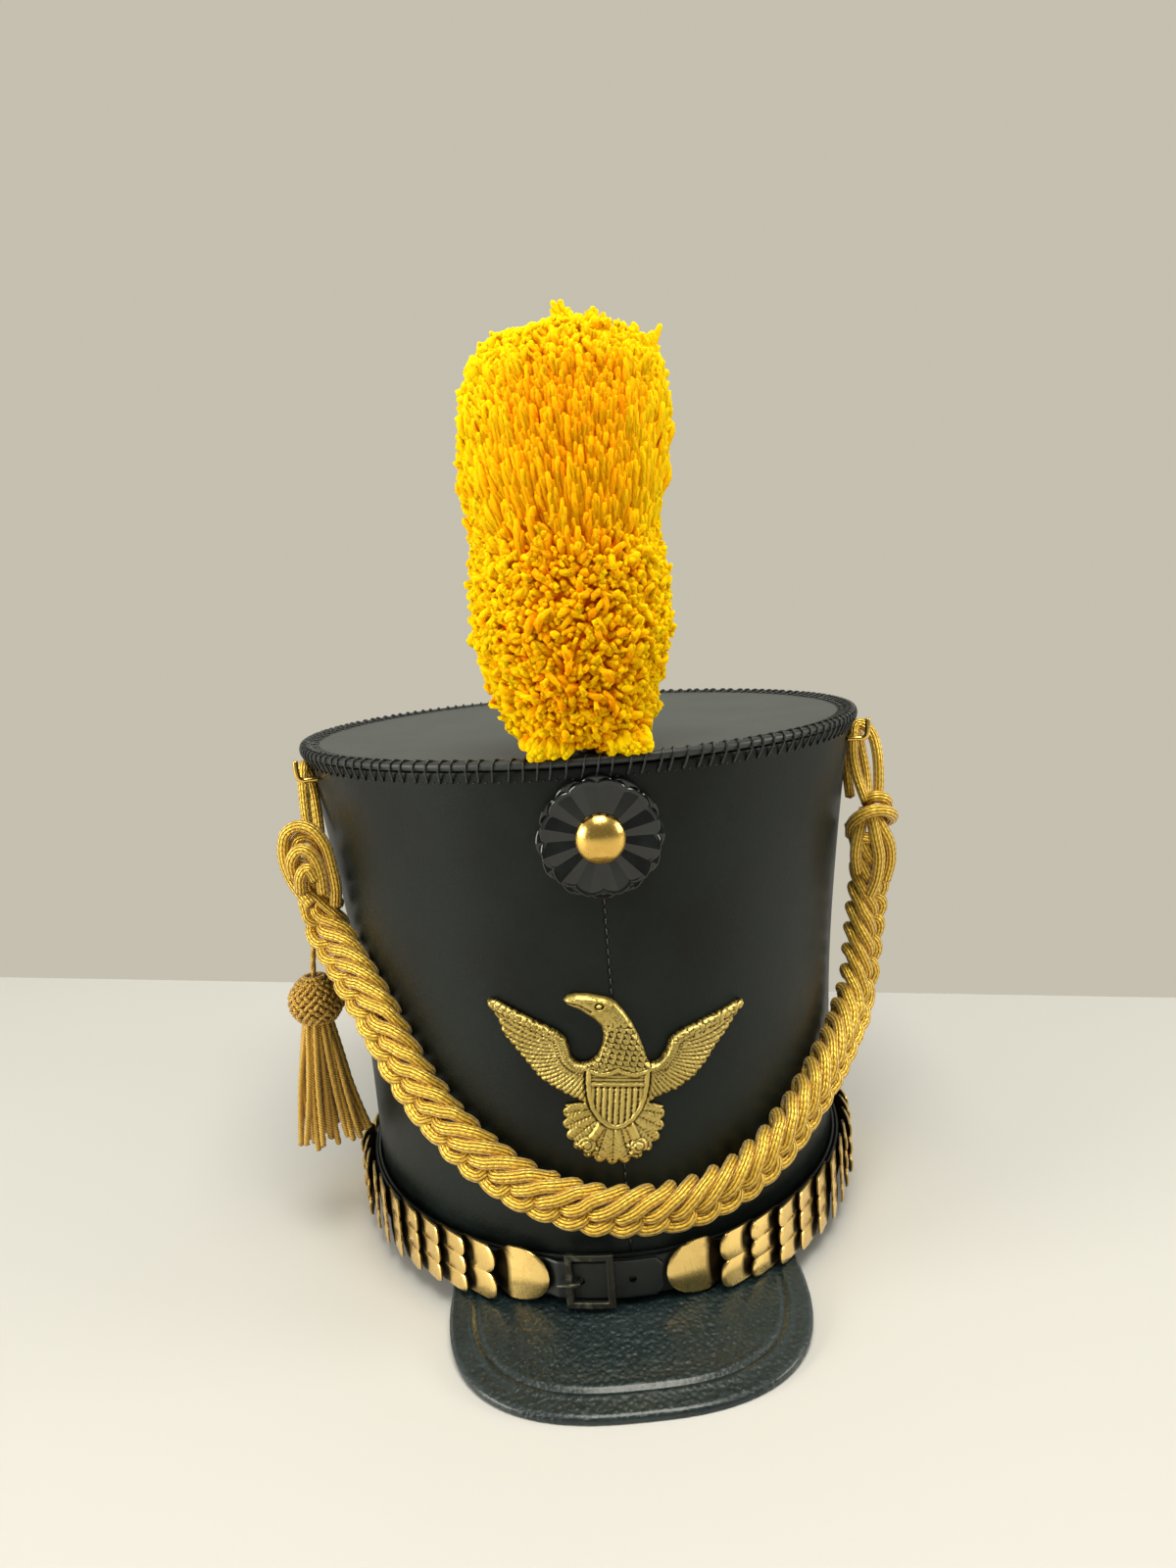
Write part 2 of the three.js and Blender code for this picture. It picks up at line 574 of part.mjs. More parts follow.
function festoon() {
  const pieces = [mesh('festoon_braid', tube(FESTOON, BRAID_R, 8, 64), goldCord)];
  const half = KNOT.height / 2;
  const form = [
    [0, -half], [KNOT.r * 0.6, -half], [KNOT.r, -half * 0.4], [KNOT.r, half * 0.4], [KNOT.r * 0.7, half], [0, half],
  ];
  for (const [number, knot] of KNOTS.entries()) {
    const side = Math.sign(knot.x);
    const bundle = mesh(`knot_${knot.name}`, turned(form, 16).rotateX(Math.PI / 2), goldCord);
    bundle.position.set(knot.x, knot.y, knot.z);
    pieces.push(hook(knot.name, side), bundle, hangingLoop(knot.name, side, knot, LOOPS[number]));
  }
  return pieces;
}

function tassel() {
  const { headR, headHigh, skirtTop, skirtLow, skirtHigh, x, y, z } = TASSEL;
  const half = headHigh / 2;
  const head = turned([
    [0, -half], [headR * 0.72, -half], [headR * 0.95, -half * 0.5], [headR, 0], [headR * 0.85, half * 0.6],
    [headR * 0.4, half], [0, half],
  ], 16);
  const skirt = turned([
    [0, -skirtHigh], [skirtLow, -skirtHigh], [skirtLow * 0.85, -skirtHigh / 2], [skirtTop * 0.85, -half * 0.2], [0, 0],
  ], 16);
  head.rotateX(Math.PI / 2);
  skirt.rotateX(Math.PI / 2);
  const headPiece = mesh('tassel_head', head, goldCord);
  headPiece.position.set(x, y, z);
  const skirtPiece = mesh('tassel_skirt', skirt, goldCord);
  skirtPiece.position.set(x, y, z - half - GAP);
  return [mesh('tassel_cord', tube(TASSEL_ROUTE, TASSEL.cordR, 8, 16), goldCord), headPiece, skirtPiece];
}

// ---------------------------------------------------------------- assembly
const hat = new THREE.Group();
hat.add(crown(), ...top(), band(), peak(), ...straps(), ...buckle(), ...scales(), rosette(), eagle(), ...plume());
const hung = new THREE.Group();
hung.add(...festoon(), ...tassel());

// Lean back until the peak's edge and the rear of the rim touch the same level surface.
const leaning = new THREE.Group();
leaning.add(hat, hung);
leaning.rotation.x = -Math.atan2(PEAK.drop + RIM, BASE_B + PEAK.straight + PEAK.depth);

// Stand it with its origin at the middle of the box of the hat without its cords.
const shako = new THREE.Group();
shako.add(leaning);
shako.updateMatrixWorld(true);
const box = new THREE.Box3().setFromObject(hat, true);
leaning.position.set(-(box.min.x + box.max.x) / 2, -(box.min.y + box.max.y) / 2, -box.min.z);

export default shako;
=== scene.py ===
"""A tall leather shako: plume, cockade, eagle badge, chin scales, gold cord festoon and tassel.

Every shape is worked out upright in the hat's own frame, in millimetres: z up from near the rim, the front
towards -y, x to the right as seen from the front. placed() leans the hat back onto the edge of its peak and
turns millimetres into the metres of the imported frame. A shape is (points, faces, corner places on the
pattern, tints), and whole arrays of points are worked out at a time.
"""
import json
import math

import bpy
import numpy as np
from mathutils import Matrix, Vector


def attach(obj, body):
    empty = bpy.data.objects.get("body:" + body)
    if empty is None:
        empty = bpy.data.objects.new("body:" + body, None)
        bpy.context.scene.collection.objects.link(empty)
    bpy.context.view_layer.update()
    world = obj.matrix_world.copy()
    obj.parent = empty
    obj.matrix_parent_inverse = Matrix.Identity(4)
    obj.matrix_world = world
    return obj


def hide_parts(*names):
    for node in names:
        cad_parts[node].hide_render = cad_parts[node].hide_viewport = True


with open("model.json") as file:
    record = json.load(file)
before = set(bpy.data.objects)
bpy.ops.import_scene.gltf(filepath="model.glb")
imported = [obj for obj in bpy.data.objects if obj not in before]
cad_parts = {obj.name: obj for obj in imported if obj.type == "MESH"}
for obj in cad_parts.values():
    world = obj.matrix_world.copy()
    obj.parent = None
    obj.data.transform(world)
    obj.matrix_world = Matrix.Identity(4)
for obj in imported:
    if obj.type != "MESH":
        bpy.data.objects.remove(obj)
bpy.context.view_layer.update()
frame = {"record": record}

random = np.random.default_rng(7)
GOLDEN_TURN = 2.39996       # radians; points at this step round a circle never line up

# ------------------------------------------------------------------ the hat's own frame
MM = 0.001
RIM = -1.2
opening = next(mount for mount in frame["record"]["mounts"] if mount["name"] == "head_opening")
LEAN = math.atan2(-opening["axis"][1], -opening["axis"][2])
LEANING = np.array([
    [1, 0, 0],
    [0, math.cos(LEAN), math.sin(LEAN)],
    [0, -math.sin(LEAN), math.cos(LEAN)],
])
SHIFT = np.array(opening["pos_m"]) / MM - LEANING @ (0, 0, RIM)


def placed(points):
    """Points of the hat's frame in millimetres, leaned back and moved, in metres."""
    return (np.asarray(points, float) @ LEANING.T + SHIFT) * MM


# the crown: an oval at the head band that flares towards the top and shifts to the front
BASE_A, BASE_B = 86, 105
TOP_A, TOP_B, TOP_SHIFT = 97.7, 107.5, -7.5
FLARE_START, FLARE_HEIGHT, FLARE_POWER = 12, 153.7, 2.2
WALL, WALL_TOP = 2, 164.2
GAP = 0.3


def oval(z):
    """Half width, half length and middle of the crown at height z: they grow as the rise to the power 2.2."""
    rise = np.clip((np.asarray(z, float) - FLARE_START) / FLARE_HEIGHT, 0, None)
    flare = rise ** FLARE_POWER
    return BASE_A + (TOP_A - BASE_A) * flare, BASE_B + (TOP_B - BASE_B) * flare, TOP_SHIFT * flare


def around(angle, z, out=0.0):
    """The point at an angle from the front, a distance out along the level normal of the oval."""
    a, b, c = oval(z)
    angle, z, out, a, b, c = np.broadcast_arrays(angle, z, out, a, b, c)
    normal = unit(np.stack([b * np.sin(angle), -a * np.cos(angle), 0 * angle], -1))
    return np.stack([a * np.sin(angle), c - b * np.cos(angle), z], -1) + normal * out[..., None]


def angle_at(run, z):
    """Angle from the front after a run along the oval, added up over 60 equal steps of the run."""
    a, b, _ = oval(z)
    run, a, b = np.broadcast_arrays(np.asarray(run, float), a, b)
    angle = np.zeros(run.shape)
    step = np.abs(run) / 60
    for _ in range(60):
        middle = angle + step / np.hypot(a * np.cos(angle), b * np.sin(angle)) / 2
        angle = angle + step / np.hypot(a * np.cos(middle), b * np.sin(middle))
    return np.sign(run) * angle


def on_wall(run, z, out):
    """The point at a run along the head band from the front, a height and a distance out."""
    return around(angle_at(run, z), z, out)


def unit(vectors):
    """Vectors of length one."""
    return vectors / np.maximum(np.linalg.norm(vectors, axis=-1, keepdims=True), 1e-9)


def dot(a, b):
    """Dot products, kept as a last axis of one."""
    return np.sum(a * b, -1, keepdims=True)


# ------------------------------------------------------------------ shapes
def shape(points, faces, places=None, tints=None):
    """Points, faces of four corners (the last is -1 in a triangle), places on the pattern and tints."""
    points, faces = np.reshape(points, (-1, 3)), np.reshape(faces, (-1, 4))
    if places is None:
        places = np.zeros((len(faces), 4, 2))
    if tints is None:
        tints = np.zeros(len(points))
    return points, faces, np.reshape(places, (-1, 4, 2)), np.reshape(tints, -1)


def joined(*shapes):
    """Several shapes as one."""
    starts = np.cumsum([0] + [len(one[0]) for one in shapes[:-1]])
    faces = [np.where(one[1] < 0, -1, one[1] + start) for one, start in zip(shapes, starts)]
    return (np.concatenate([one[0] for one in shapes]), np.concatenate(faces),
            np.concatenate([one[2] for one in shapes]), np.concatenate([one[3] for one in shapes]))


def weave(rows, columns, wrap_rows=False, wrap_columns=False):
    """Faces of a grid of points, and the row and column of each face's corners, counted without wrapping."""
    i = np.arange(rows - (not wrap_rows))[:, None]
    j = np.arange(columns - (not wrap_columns))[None, :]
    i, j = np.broadcast_arrays(i, j)
    row = np.stack([i, i, i + 1, i + 1], -1).reshape(-1, 4)
    column = np.stack([j, j + 1, j + 1, j], -1).reshape(-1, 4)
    return row % rows * columns + column % columns, row, column


def loop_skin(grid):
    """A closed skin over a grid whose rows and columns both run full circle."""
    rows, columns, _ = grid.shape
    faces, row, column = weave(rows, columns, True, True)
    return shape(grid, faces, np.stack([column / columns, row / rows], -1))


def sheet(upper, lower):
    """A thin closed solid between two grids of points, with a wall along the border."""
    rows, columns, _ = upper.shape
    faces, row, column = weave(rows, columns)
    places = np.stack([column / columns, row / rows], -1)
    return slab(upper.reshape(-1, 3), lower.reshape(-1, 3), faces, places)


def at_cells(values):
    """Values at the points of a grid, averaged over each cell's four corners."""
    return (values[:-1, :-1] + values[1:, 1:] + values[:-1, 1:] + values[1:, :-1]) / 4


def slab(upper, lower, faces, places=None, tints=None):
    """A closed solid: the upper faces, the lower ones turned over, and a wall along each border edge."""
    count = len(upper)
    places = np.zeros((len(faces), 4, 2)) if places is None else places
    edges = np.stack([faces, np.roll(faces, -1, axis=1)], -1).reshape(-1, 2)
    forward = edges[:, 0] * count + edges[:, 1]
    back = edges[:, 1] * count + edges[:, 0]
    border = edges[~np.isin(forward, back)]
    start, end = border.T
    wall = np.stack([end, start, start + count, end + count], -1)
    whole = np.concatenate([faces, faces[:, ::-1] + count, wall])
    spots = np.concatenate([places, places[:, ::-1], np.zeros((len(wall), 4, 2))])
    tints = np.zeros(count) if tints is None else np.reshape(tints, -1)
    return shape(np.concatenate([upper, lower]), whole, spots, np.concatenate([tints, tints]))


def tubes(paths, radius, sides=8, tints=None):
    """Round tubes along one path or many at once, with rounded ends.

    At each station the ring is the path's point plus radius times the cosine and sine of the angle along two
    cross directions, which turn no more than the path does. The radius may change along a tube and round it.
    The place on the pattern is the turn round the tube and the length along it in millimetres.
    """
    paths = np.asarray(paths, float)
    paths = paths[None] if paths.ndim == 2 else paths
    count, stations, _ = paths.shape
    tangent = unit(np.gradient(paths, axis=1))
    steps = np.linalg.norm(np.diff(paths, axis=1), axis=-1)
    length = np.concatenate([np.zeros((count, 1)), np.cumsum(steps, 1)], 1)
    least = np.eye(3)[np.argmin(np.abs(tangent[:, 0]), axis=-1)]
    side = np.cross(tangent[:, 0], least)
    across = np.empty_like(paths)
    for station in range(stations):
        side = unit(side - dot(side, tangent[:, station]) * tangent[:, station])
        across[:, station] = side
    other = np.cross(tangent, across)
    angle = 2 * np.pi * np.arange(sides) / sides
    radius = np.asarray(radius, float)
    radius = radius[..., None] if radius.ndim < 3 else radius
    radius = np.broadcast_to(radius, (count, stations, sides))
    ring = np.cos(angle)[:, None] * across[:, :, None] + np.sin(angle)[:, None] * other[:, :, None]
    rings = paths[:, :, None] + radius[..., None] * ring
    body = rings.reshape(-1, 3)
    faces, row, column = weave(stations, sides, wrap_columns=True)
    starts = np.arange(count)[:, None, None]
    places = np.stack([np.broadcast_to(column / sides, (count,) + column.shape), length[:, row]], -1)
    faces = (faces + starts * stations * sides).reshape(-1, 4)
    turn, following = np.arange(sides), (np.arange(sides) + 1) % sides
    first = starts[:, 0] * stations * sides
    last = first + (stations - 1) * sides
    pole = len(body) + starts[:, 0]
    blank = np.full((count, sides), -1)
    start_cap = np.stack([first + following, first + turn, pole + 0 * turn, blank], -1)
    end_cap = np.stack([last + turn, last + following, pole + count + 0 * turn, blank], -1)
    ends = [paths[:, k] + direction * tangent[:, k] * radius[:, k].mean(-1, keepdims=True) * 0.5
            for k, direction in ((0, -1), (-1, 1))]
    caps = np.concatenate([start_cap.reshape(-1, 4), end_cap.reshape(-1, 4)])
    if tints is not None:
        tints = np.broadcast_to(np.asarray(tints, float)[..., None], (count, stations, sides)).reshape(-1)
        shown = tints.reshape(count, stations, sides)
        tints = np.concatenate([tints, shown[:, 0, 0], shown[:, -1, 0]])
    return shape(np.concatenate([body, *ends]), np.concatenate([faces, caps]),
                 np.concatenate([places.reshape(-1, 4, 2), np.zeros((len(caps), 4, 2))]), tints)


def smooth(points, spacing):
    """Points every spacing along the Catmull-Rom curve through the given ones."""
    points = np.asarray(points, float)
    ends = np.vstack([2 * points[0] - points[1], points, 2 * points[-1] - points[-2]])
    t = np.linspace(0, 1, 16, endpoint=False)[None, :, None]
    before, here, ahead, beyond = (ends[k:len(ends) - 3 + k][:, None] for k in range(4))
    curve = 0.5 * (2 * here + (ahead - before) * t + (2 * before - 5 * here + 4 * ahead - beyond) * t ** 2
                   + (3 * here - before - 3 * ahead + beyond) * t ** 3)
    curve = np.vstack([curve.reshape(-1, points.shape[1]), points[-1]])
    return evenly(curve, spacing)


def evenly(curve, spacing):
    """A curve's points moved to even steps along it."""
    length = np.concatenate([[0], np.cumsum(np.linalg.norm(np.diff(curve[:, :3], axis=0), axis=1))])
    stations = np.linspace(0, length[-1], max(4, int(round(length[-1] / spacing)) + 1))
    return np.stack([np.interp(stations, length, column) for column in curve.T], -1)


def capped(grid):
    """A closed skin over rings of points, one in each row: the first and last close on their middles."""
    rows, columns, _ = grid.shape
    faces, row, column = weave(rows, columns, wrap_columns=True)
    turn, following = np.arange(columns), (np.arange(columns) + 1) % columns
    last = (rows - 1) * columns
    low = np.full(columns, rows * columns)
    blank = np.full(columns, -1)
    caps = np.concatenate([np.stack([following, turn, low, blank], -1),
                           np.stack([last + turn, last + following, low + 1, blank], -1)])
    poles = np.stack([grid[0].mean(0), grid[-1].mean(0)])
    places = np.stack([column / columns, row / rows], -1)
    return shape(np.vstack([grid.reshape(-1, 3), poles]), np.vstack([faces, caps]),
                 np.concatenate([places, np.zeros((len(caps), 4, 2))]))


def turned(profile, sides, seat, axis):
    """A turned form: radius and height along its axis of each point of the profile, its low end first."""
    axis = unit(np.asarray(axis, float))
    first = unit(np.cross(axis, np.eye(3)[np.argmin(np.abs(axis))]))
    second = np.cross(axis, first)
    angle = 2 * np.pi * np.arange(sides) / sides
    radius, height = np.array(profile, float).T
    ring = np.cos(angle)[:, None] * first + np.sin(angle)[:, None] * second
    return capped(np.asarray(seat) + radius[:, None, None] * ring + height[:, None, None] * axis)


def piece(name, form, finish, nodes=(), crease=None):
    """One piece of the hat, in place, riding on its body and standing for its plain nodes."""
    points, faces, places, tints = form
    mesh = bpy.data.meshes.new(name)
    corners = faces >= 0
    mesh.vertices.add(len(points))
    mesh.vertices.foreach_set("co", placed(points).ravel().astype(np.float32))
    mesh.loops.add(int(corners.sum()))
    mesh.loops.foreach_set("vertex_index", faces[corners].astype(np.int32))
    mesh.polygons.add(len(faces))
    counts = corners.sum(1)
    mesh.polygons.foreach_set("loop_start", (np.cumsum(counts) - counts).astype(np.int32))
    mesh.update(calc_edges=True)
    mesh.uv_layers.new(name="pattern").data.foreach_set("uv", places[corners].ravel().astype(np.float32))
    mesh.attributes.new("tint", "FLOAT", "POINT").data.foreach_set("value", tints.astype(np.float32))
    mesh.shade_smooth()
    if crease:
        mesh.set_sharp_from_angle(angle=math.radians(crease))
    mesh.materials.append(finish.material)
    made = bpy.data.objects.new(name, mesh)
    bpy.context.scene.collection.objects.link(made)
    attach(made, "root")
    if nodes:
        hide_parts(*nodes)
    return made


# ------------------------------------------------------------------ camera
EYE = (-16.5, -437.2, 210.0)
SIGHT = (0.0431, 0.9870, -0.1547)
ROLL = math.radians(-4)
LENS, SENSOR = 27, 36


def camera():
    """The camera at its eye, looking along its sight, turned a little about it."""
    data = bpy.data.cameras.new("camera")
    data.lens, data.sensor_width, data.sensor_fit = LENS, SENSOR, "AUTO"
    data.clip_start, data.clip_end = 0.01, 20
    made = bpy.data.objects.new("camera", data)
    bpy.context.scene.collection.objects.link(made)
    forward = unit(np.array(SIGHT))
    right = unit(np.cross(forward, (0, 0, 1)))
    up = np.cross(right, forward)
    turned_right = math.cos(ROLL) * right + math.sin(ROLL) * up
    turned_up = math.cos(ROLL) * up - math.sin(ROLL) * right
    axes = np.stack([turned_right, turned_up, -forward], 0) @ LEANING.T
    matrix = np.eye(4)
    matrix[:3, :3] = axes.T
    matrix[:3, 3] = placed(EYE)
    made.matrix_world = Matrix(matrix.tolist())
    bpy.context.scene.camera = made


# ------------------------------------------------------------------ finishes
class Value:
    """One output of a finish's nodes. Arithmetic on it adds Math nodes, also with the number first."""

    def __init__(self, finish, socket):
        self.finish, self.socket = finish, socket

    def math(self, operation, *values):
        return self.finish.node("ShaderNodeMath", {"operation": operation}, dict(enumerate(values)))

    def __add__(self, other):
        return self.math("ADD", self, other)

    def __radd__(self, other):
        return self.math("ADD", other, self)

    def __sub__(self, other):
        return self.math("SUBTRACT", self, other)

    def __rsub__(self, other):
        return self.math("SUBTRACT", other, self)

    def __mul__(self, other):
        return self.math("MULTIPLY", self, other)

    def __rmul__(self, other):
        return self.math("MULTIPLY", other, self)

    def __truediv__(self, other):
        return self.math("DIVIDE", self, other)

    def __pow__(self, other):
        return self.math("POWER", self, other)

    def __abs__(self):
        return self.math("ABSOLUTE", self)

    def fraction(self):
        return self.math("FRACT", self)

    def sine(self):
        return self.math("SINE", self)

    def over(self, level):
        return self.math("GREATER_THAN", self, level)

    def held(self):
        """Kept between 0 and 1."""
        return self.math("MINIMUM", self.math("MAXIMUM", self, 0), 1)

    def between(self, low, high):
        """0 at low and under, 1 at high and over, straight between them."""
        return ((self - low) / (high - low)).held()


class Finish:
    """A material worked out by nodes. node() makes any node; the others are short names for common ones."""

    def __init__(self, name, **settings):
        self.material = bpy.data.materials.new(name)
        self.material.use_nodes = True
        self.tree = self.material.node_tree
        self.shader = self.tree.nodes["Principled BSDF"]
        for socket, value in settings.items():
            self.shader.inputs[socket.replace("_", " ")].default_value = value

    def node(self, kind, settings=None, inputs=None, output=0):
        made = self.tree.nodes.new(kind)
        for name, value in (settings or {}).items():
            setattr(made, name, value)
        for name, value in (inputs or {}).items():
            if isinstance(value, Value):
                self.tree.links.new(value.socket, made.inputs[name])
            else:
                made.inputs[name].default_value = value
        return Value(self, made.outputs[output])

    def feed(self, socket, value):
        self.tree.links.new(value.socket, self.shader.inputs[socket])

    def place(self):
        """The object's own coordinates, in metres."""
        return self.node("ShaderNodeTexCoord", output="Object")

    def pattern(self):
        """The turn round a strand and the length along it, as two values."""
        spot = self.node("ShaderNodeUVMap", {"uv_map": "pattern"})
        split = self.node("ShaderNodeSeparateXYZ", inputs={0: spot})
        return split, Value(self, split.socket.node.outputs[1])

    def tint(self):
        return self.node("ShaderNodeAttribute", {"attribute_name": "tint"}, output="Fac")

    def noise(self, scale, detail=3.0, roughness=0.5, place=None):
        inputs = {"Scale": scale, "Detail": detail, "Roughness": roughness, "Vector": place or self.place()}
        return self.node("ShaderNodeTexNoise", inputs=inputs)

    def cells(self, scale, feature="F1", randomness=1.0):
        inputs = {"Scale": scale, "Randomness": randomness, "Vector": self.place()}
        return self.node("ShaderNodeTexVoronoi", {"feature": feature}, inputs)

    def colours(self, factor, first, second):
        """The first colour where the factor is 0, the second where it is 1."""
        inputs = {0: factor}
        for place, colour in ((6, first), (7, second)):
            inputs[place] = colour if isinstance(colour, Value) else (*colour, 1)
        return self.node("ShaderNodeMix", {"data_type": "RGBA"}, inputs, output=2)

    def bump(self, height, distance, strength=1.0):
        """Height in distances of this many millimetres."""
        inputs = {"Height": height, "Distance": distance * MM, "Strength": strength}
        self.feed("Normal", self.node("ShaderNodeBump", inputs=inputs))


def crown_leather():
    """Dark green-black leather: broad mottling, fine grain and a soft sheen that changes a little."""
    finish = Finish("crown_leather", Roughness=0.42, Specular_IOR_Level=0.24)
    broad = finish.noise(28, 4, 0.6)
    fine = finish.noise(420, 3, 0.6)
    mottle = (broad * 0.55 + finish.noise(9, 2, 0.5) * 0.3 + fine * 0.15).between(0.38, 0.62)
    finish.feed("Base Color", finish.colours(mottle, (0.0014, 0.0028, 0.0020), (0.0055, 0.0100, 0.0080)))
    finish.feed("Roughness", 0.36 + broad.between(0.3, 0.7) * 0.16 + fine * 0.05)
    grain = finish.cells(1500) * 0.5 + fine * 0.7
    finish.bump(grain, 0.12, 0.5)
    return finish


def top_leather():
    """The same leather lying flat on top, greyer and more matt."""
    finish = Finish("top_leather", Roughness=0.5)
    broad = finish.noise(34, 5, 0.65)
    fine = finish.noise(600, 2, 0.6)
    tone = broad.between(0.35, 0.7)
    finish.feed("Base Color", finish.colours(tone, (0.030, 0.036, 0.031), (0.050, 0.056, 0.049)))
    finish.feed("Roughness", 0.46 + broad * 0.14)
    finish.bump(fine + finish.cells(1400) * 0.4, 0.12, 0.5)
    return finish


def peak_leather():
    """Blue-black leather with a raised pebble grain and a gloss over it."""
    finish = Finish("peak_leather", Coat_Weight=0.5, Coat_Roughness=0.2, Specular_IOR_Level=0.4)
    pebble = finish.cells(700, "SMOOTH_F1", randomness=0.9)
    creases = finish.noise(430, 4, 0.6)
    broad = finish.noise(26, 3, 0.5)
    raised = (1 - pebble * 1.25).held() * 0.65 + creases * 0.7
    tone = (creases * 0.6 + broad * 0.4).between(0.36, 0.66)
    finish.feed("Base Color", finish.colours(tone, (0.0038, 0.0090, 0.0104), (0.0098, 0.0222, 0.0235)))
    finish.feed("Roughness", 0.30 + creases * 0.2)
    finish.bump(raised, 0.55, 1.0)
    return finish


def strap_leather():
    """Plain black strap leather, a little rubbed along its length."""
    finish = Finish("strap_leather", Roughness=0.4)
    broad = finish.noise(90, 4, 0.6)
    tone = broad.between(0.35, 0.7)
    finish.feed("Base Color", finish.colours(tone, (0.003, 0.005, 0.0045), (0.009, 0.0125, 0.011)))
    finish.feed("Roughness", 0.34 + broad * 0.2)
    finish.bump(finish.noise(900, 2, 0.6) + finish.cells(1700) * 0.5, 0.09, 0.5)
    return finish


def patent_leather():
    """Black lacquered leather, almost a mirror."""
    finish = Finish("patent_leather", Coat_Weight=0.45, Coat_Roughness=0.04, Specular_IOR_Level=0.35)
    haze = finish.noise(160, 3, 0.5)
    tone = haze.between(0.3, 0.8)
    finish.feed("Base Color", finish.colours(tone, (0.0025, 0.003, 0.003), (0.010, 0.013, 0.012)))
    finish.feed("Roughness", 0.10 + haze * 0.12)
    finish.bump(haze, 0.1, 0.25)
    return finish


def black_thread():
    """Waxed black cord: twisted plies that show as slanting bands."""
    finish = Finish("black_thread", Roughness=0.35, Specular_IOR_Level=0.6)
    turn, length = finish.pattern()
    ply = abs((turn + length * 0.5).fraction() * 2 - 1)
    finish.feed("Base Color", finish.colours(ply, (0.004, 0.005, 0.005), (0.014, 0.017, 0.017)))
    finish.feed("Roughness", 0.30 + ply * 0.2)
    finish.bump(1 - ply, 0.2, 0.5)
    return finish


def black_iron():
    """Blackened metal that shows a warm grey where it is worn."""
    finish = Finish("black_iron", Metallic=0.65)
    worn = finish.noise(380, 5, 0.7)
    broad = finish.noise(60, 3, 0.5)
    wear = (worn * 0.7 + broad * 0.3).between(0.5, 0.66)
    finish.feed("Base Color", finish.colours(wear, (0.028, 0.028, 0.021), (0.135, 0.130, 0.092)))
    finish.feed("Roughness", 0.34 + worn * 0.2)
    finish.bump(worn, 0.12, 0.4)
    return finish


def scale_brass():
    """Pale sheet brass, brushed across, with faint tarnish, and near black where the tint paints shade: under
    the next scale's edge and on the underside.
    """
    finish = Finish("scale_brass", Metallic=1.0)
    stretched = finish.node("ShaderNodeMapping", inputs={"Vector": finish.place(), "Scale": (1, 1, 0.12)})
    brushed = finish.noise(1500, 3, 0.6, stretched)
    tarnish = finish.noise(70, 5, 0.65)
    spots = finish.noise(420, 2, 0.5).between(0.62, 0.75)
    stain = (tarnish.between(0.48, 0.75) * 0.5 + spots * 0.2).held()
    # painted shade: the tint turns the brass near black where the next scale hangs over it and on the
    # underside
    painted_shade = finish.tint()
    brass = finish.colours(stain, (0.95, 0.67, 0.235), (0.68, 0.43, 0.12))
    finish.feed("Base Color", finish.colours(painted_shade, brass, (0.030, 0.019, 0.008)))
    finish.feed("Roughness", 0.19 + brushed * 0.12 + stain * 0.16 + painted_shade * 0.3)
    finish.bump(brushed * 0.4 + tarnish, 0.12, 0.35)
    return finish


def cast_brass():
    """Cast brass, muted, and dark where the tint says that the surface is sunk."""
    finish = Finish("cast_brass", Metallic=0.9)
    grain = finish.noise(900, 4, 0.65)
    broad = finish.noise(60, 3, 0.5)
    sunk = (finish.tint() + grain * 0.22 - 0.11).between(0.08, 0.75)
    light = finish.colours(broad.between(0.35, 0.65), (0.50, 0.37, 0.095), (0.64, 0.49, 0.15))
    finish.feed("Base Color", finish.colours(sunk, light, (0.055, 0.032, 0.008)))
    finish.feed("Roughness", 0.32 + grain * 0.16 + sunk * 0.2)
    finish.bump(grain, 0.12, 0.5)
    return finish


def bright_brass():
    """Polished brass with a few pin marks."""
    finish = Finish("bright_brass", Metallic=1.0)
    haze = finish.noise(120, 4, 0.6)
    marks = (1 - finish.cells(900) * 3.2).held()
    finish.feed("Base Color", finish.colours(haze.between(0.4, 0.7), (0.86, 0.56, 0.14), (0.68, 0.42, 0.10)))
    finish.feed("Roughness", 0.15 + haze * 0.16 + marks * 0.1)
    finish.bump(haze - marks * 0.3, 0.08, 0.4)
    return finish


def gold_cord():
    """Braided gold thread: rows of short stitches along the strand, which slant to one side and the other,
    with painted shade in the gaps between them.

    Round the strand stand rows of stitches, each 2.1 mm long. The height of a stitch is the sine across its
    row times the sine along it, and every second row slants the other way.
    """
    rows, stitch = 11, 2.1
    finish = Finish("gold_cord", Metallic=0.55, Sheen_Weight=0.25, Sheen_Roughness=0.4)
    turn, length = finish.pattern()
    place = turn * rows
    across = place.fraction()
    slant = ((place * 0.5).fraction().over(0.5) * 2 - 1) * (across - 0.5) * 0.55
    along = (length / stitch + slant).fraction()
    ridge = (across * math.pi).sine() ** 0.6
    bead = (along * math.pi).sine() ** 0.5
    height = ridge * 0.55 + ridge * bead * 0.45
    fibre = finish.noise(1300, 2, 0.6)
    # painted shade: the colour darkens into the gaps between stitches and is brightest on their tops; the
    # patch tone is random
    tone = (height + fibre * 0.4 - 0.2).between(0.25, 1.0)
    patch = finish.noise(70, 3, 0.5).between(0.3, 0.75)
    deep = finish.colours(patch, (0.21, 0.090, 0.004), (0.315, 0.135, 0.006))
    finish.feed("Base Color", finish.colours(tone, deep, (1.0, 0.65, 0.075)))
    finish.feed("Roughness", 0.46 - tone * 0.12)
    finish.bump(height + fibre * 0.15, 0.42, 0.9)
    return finish


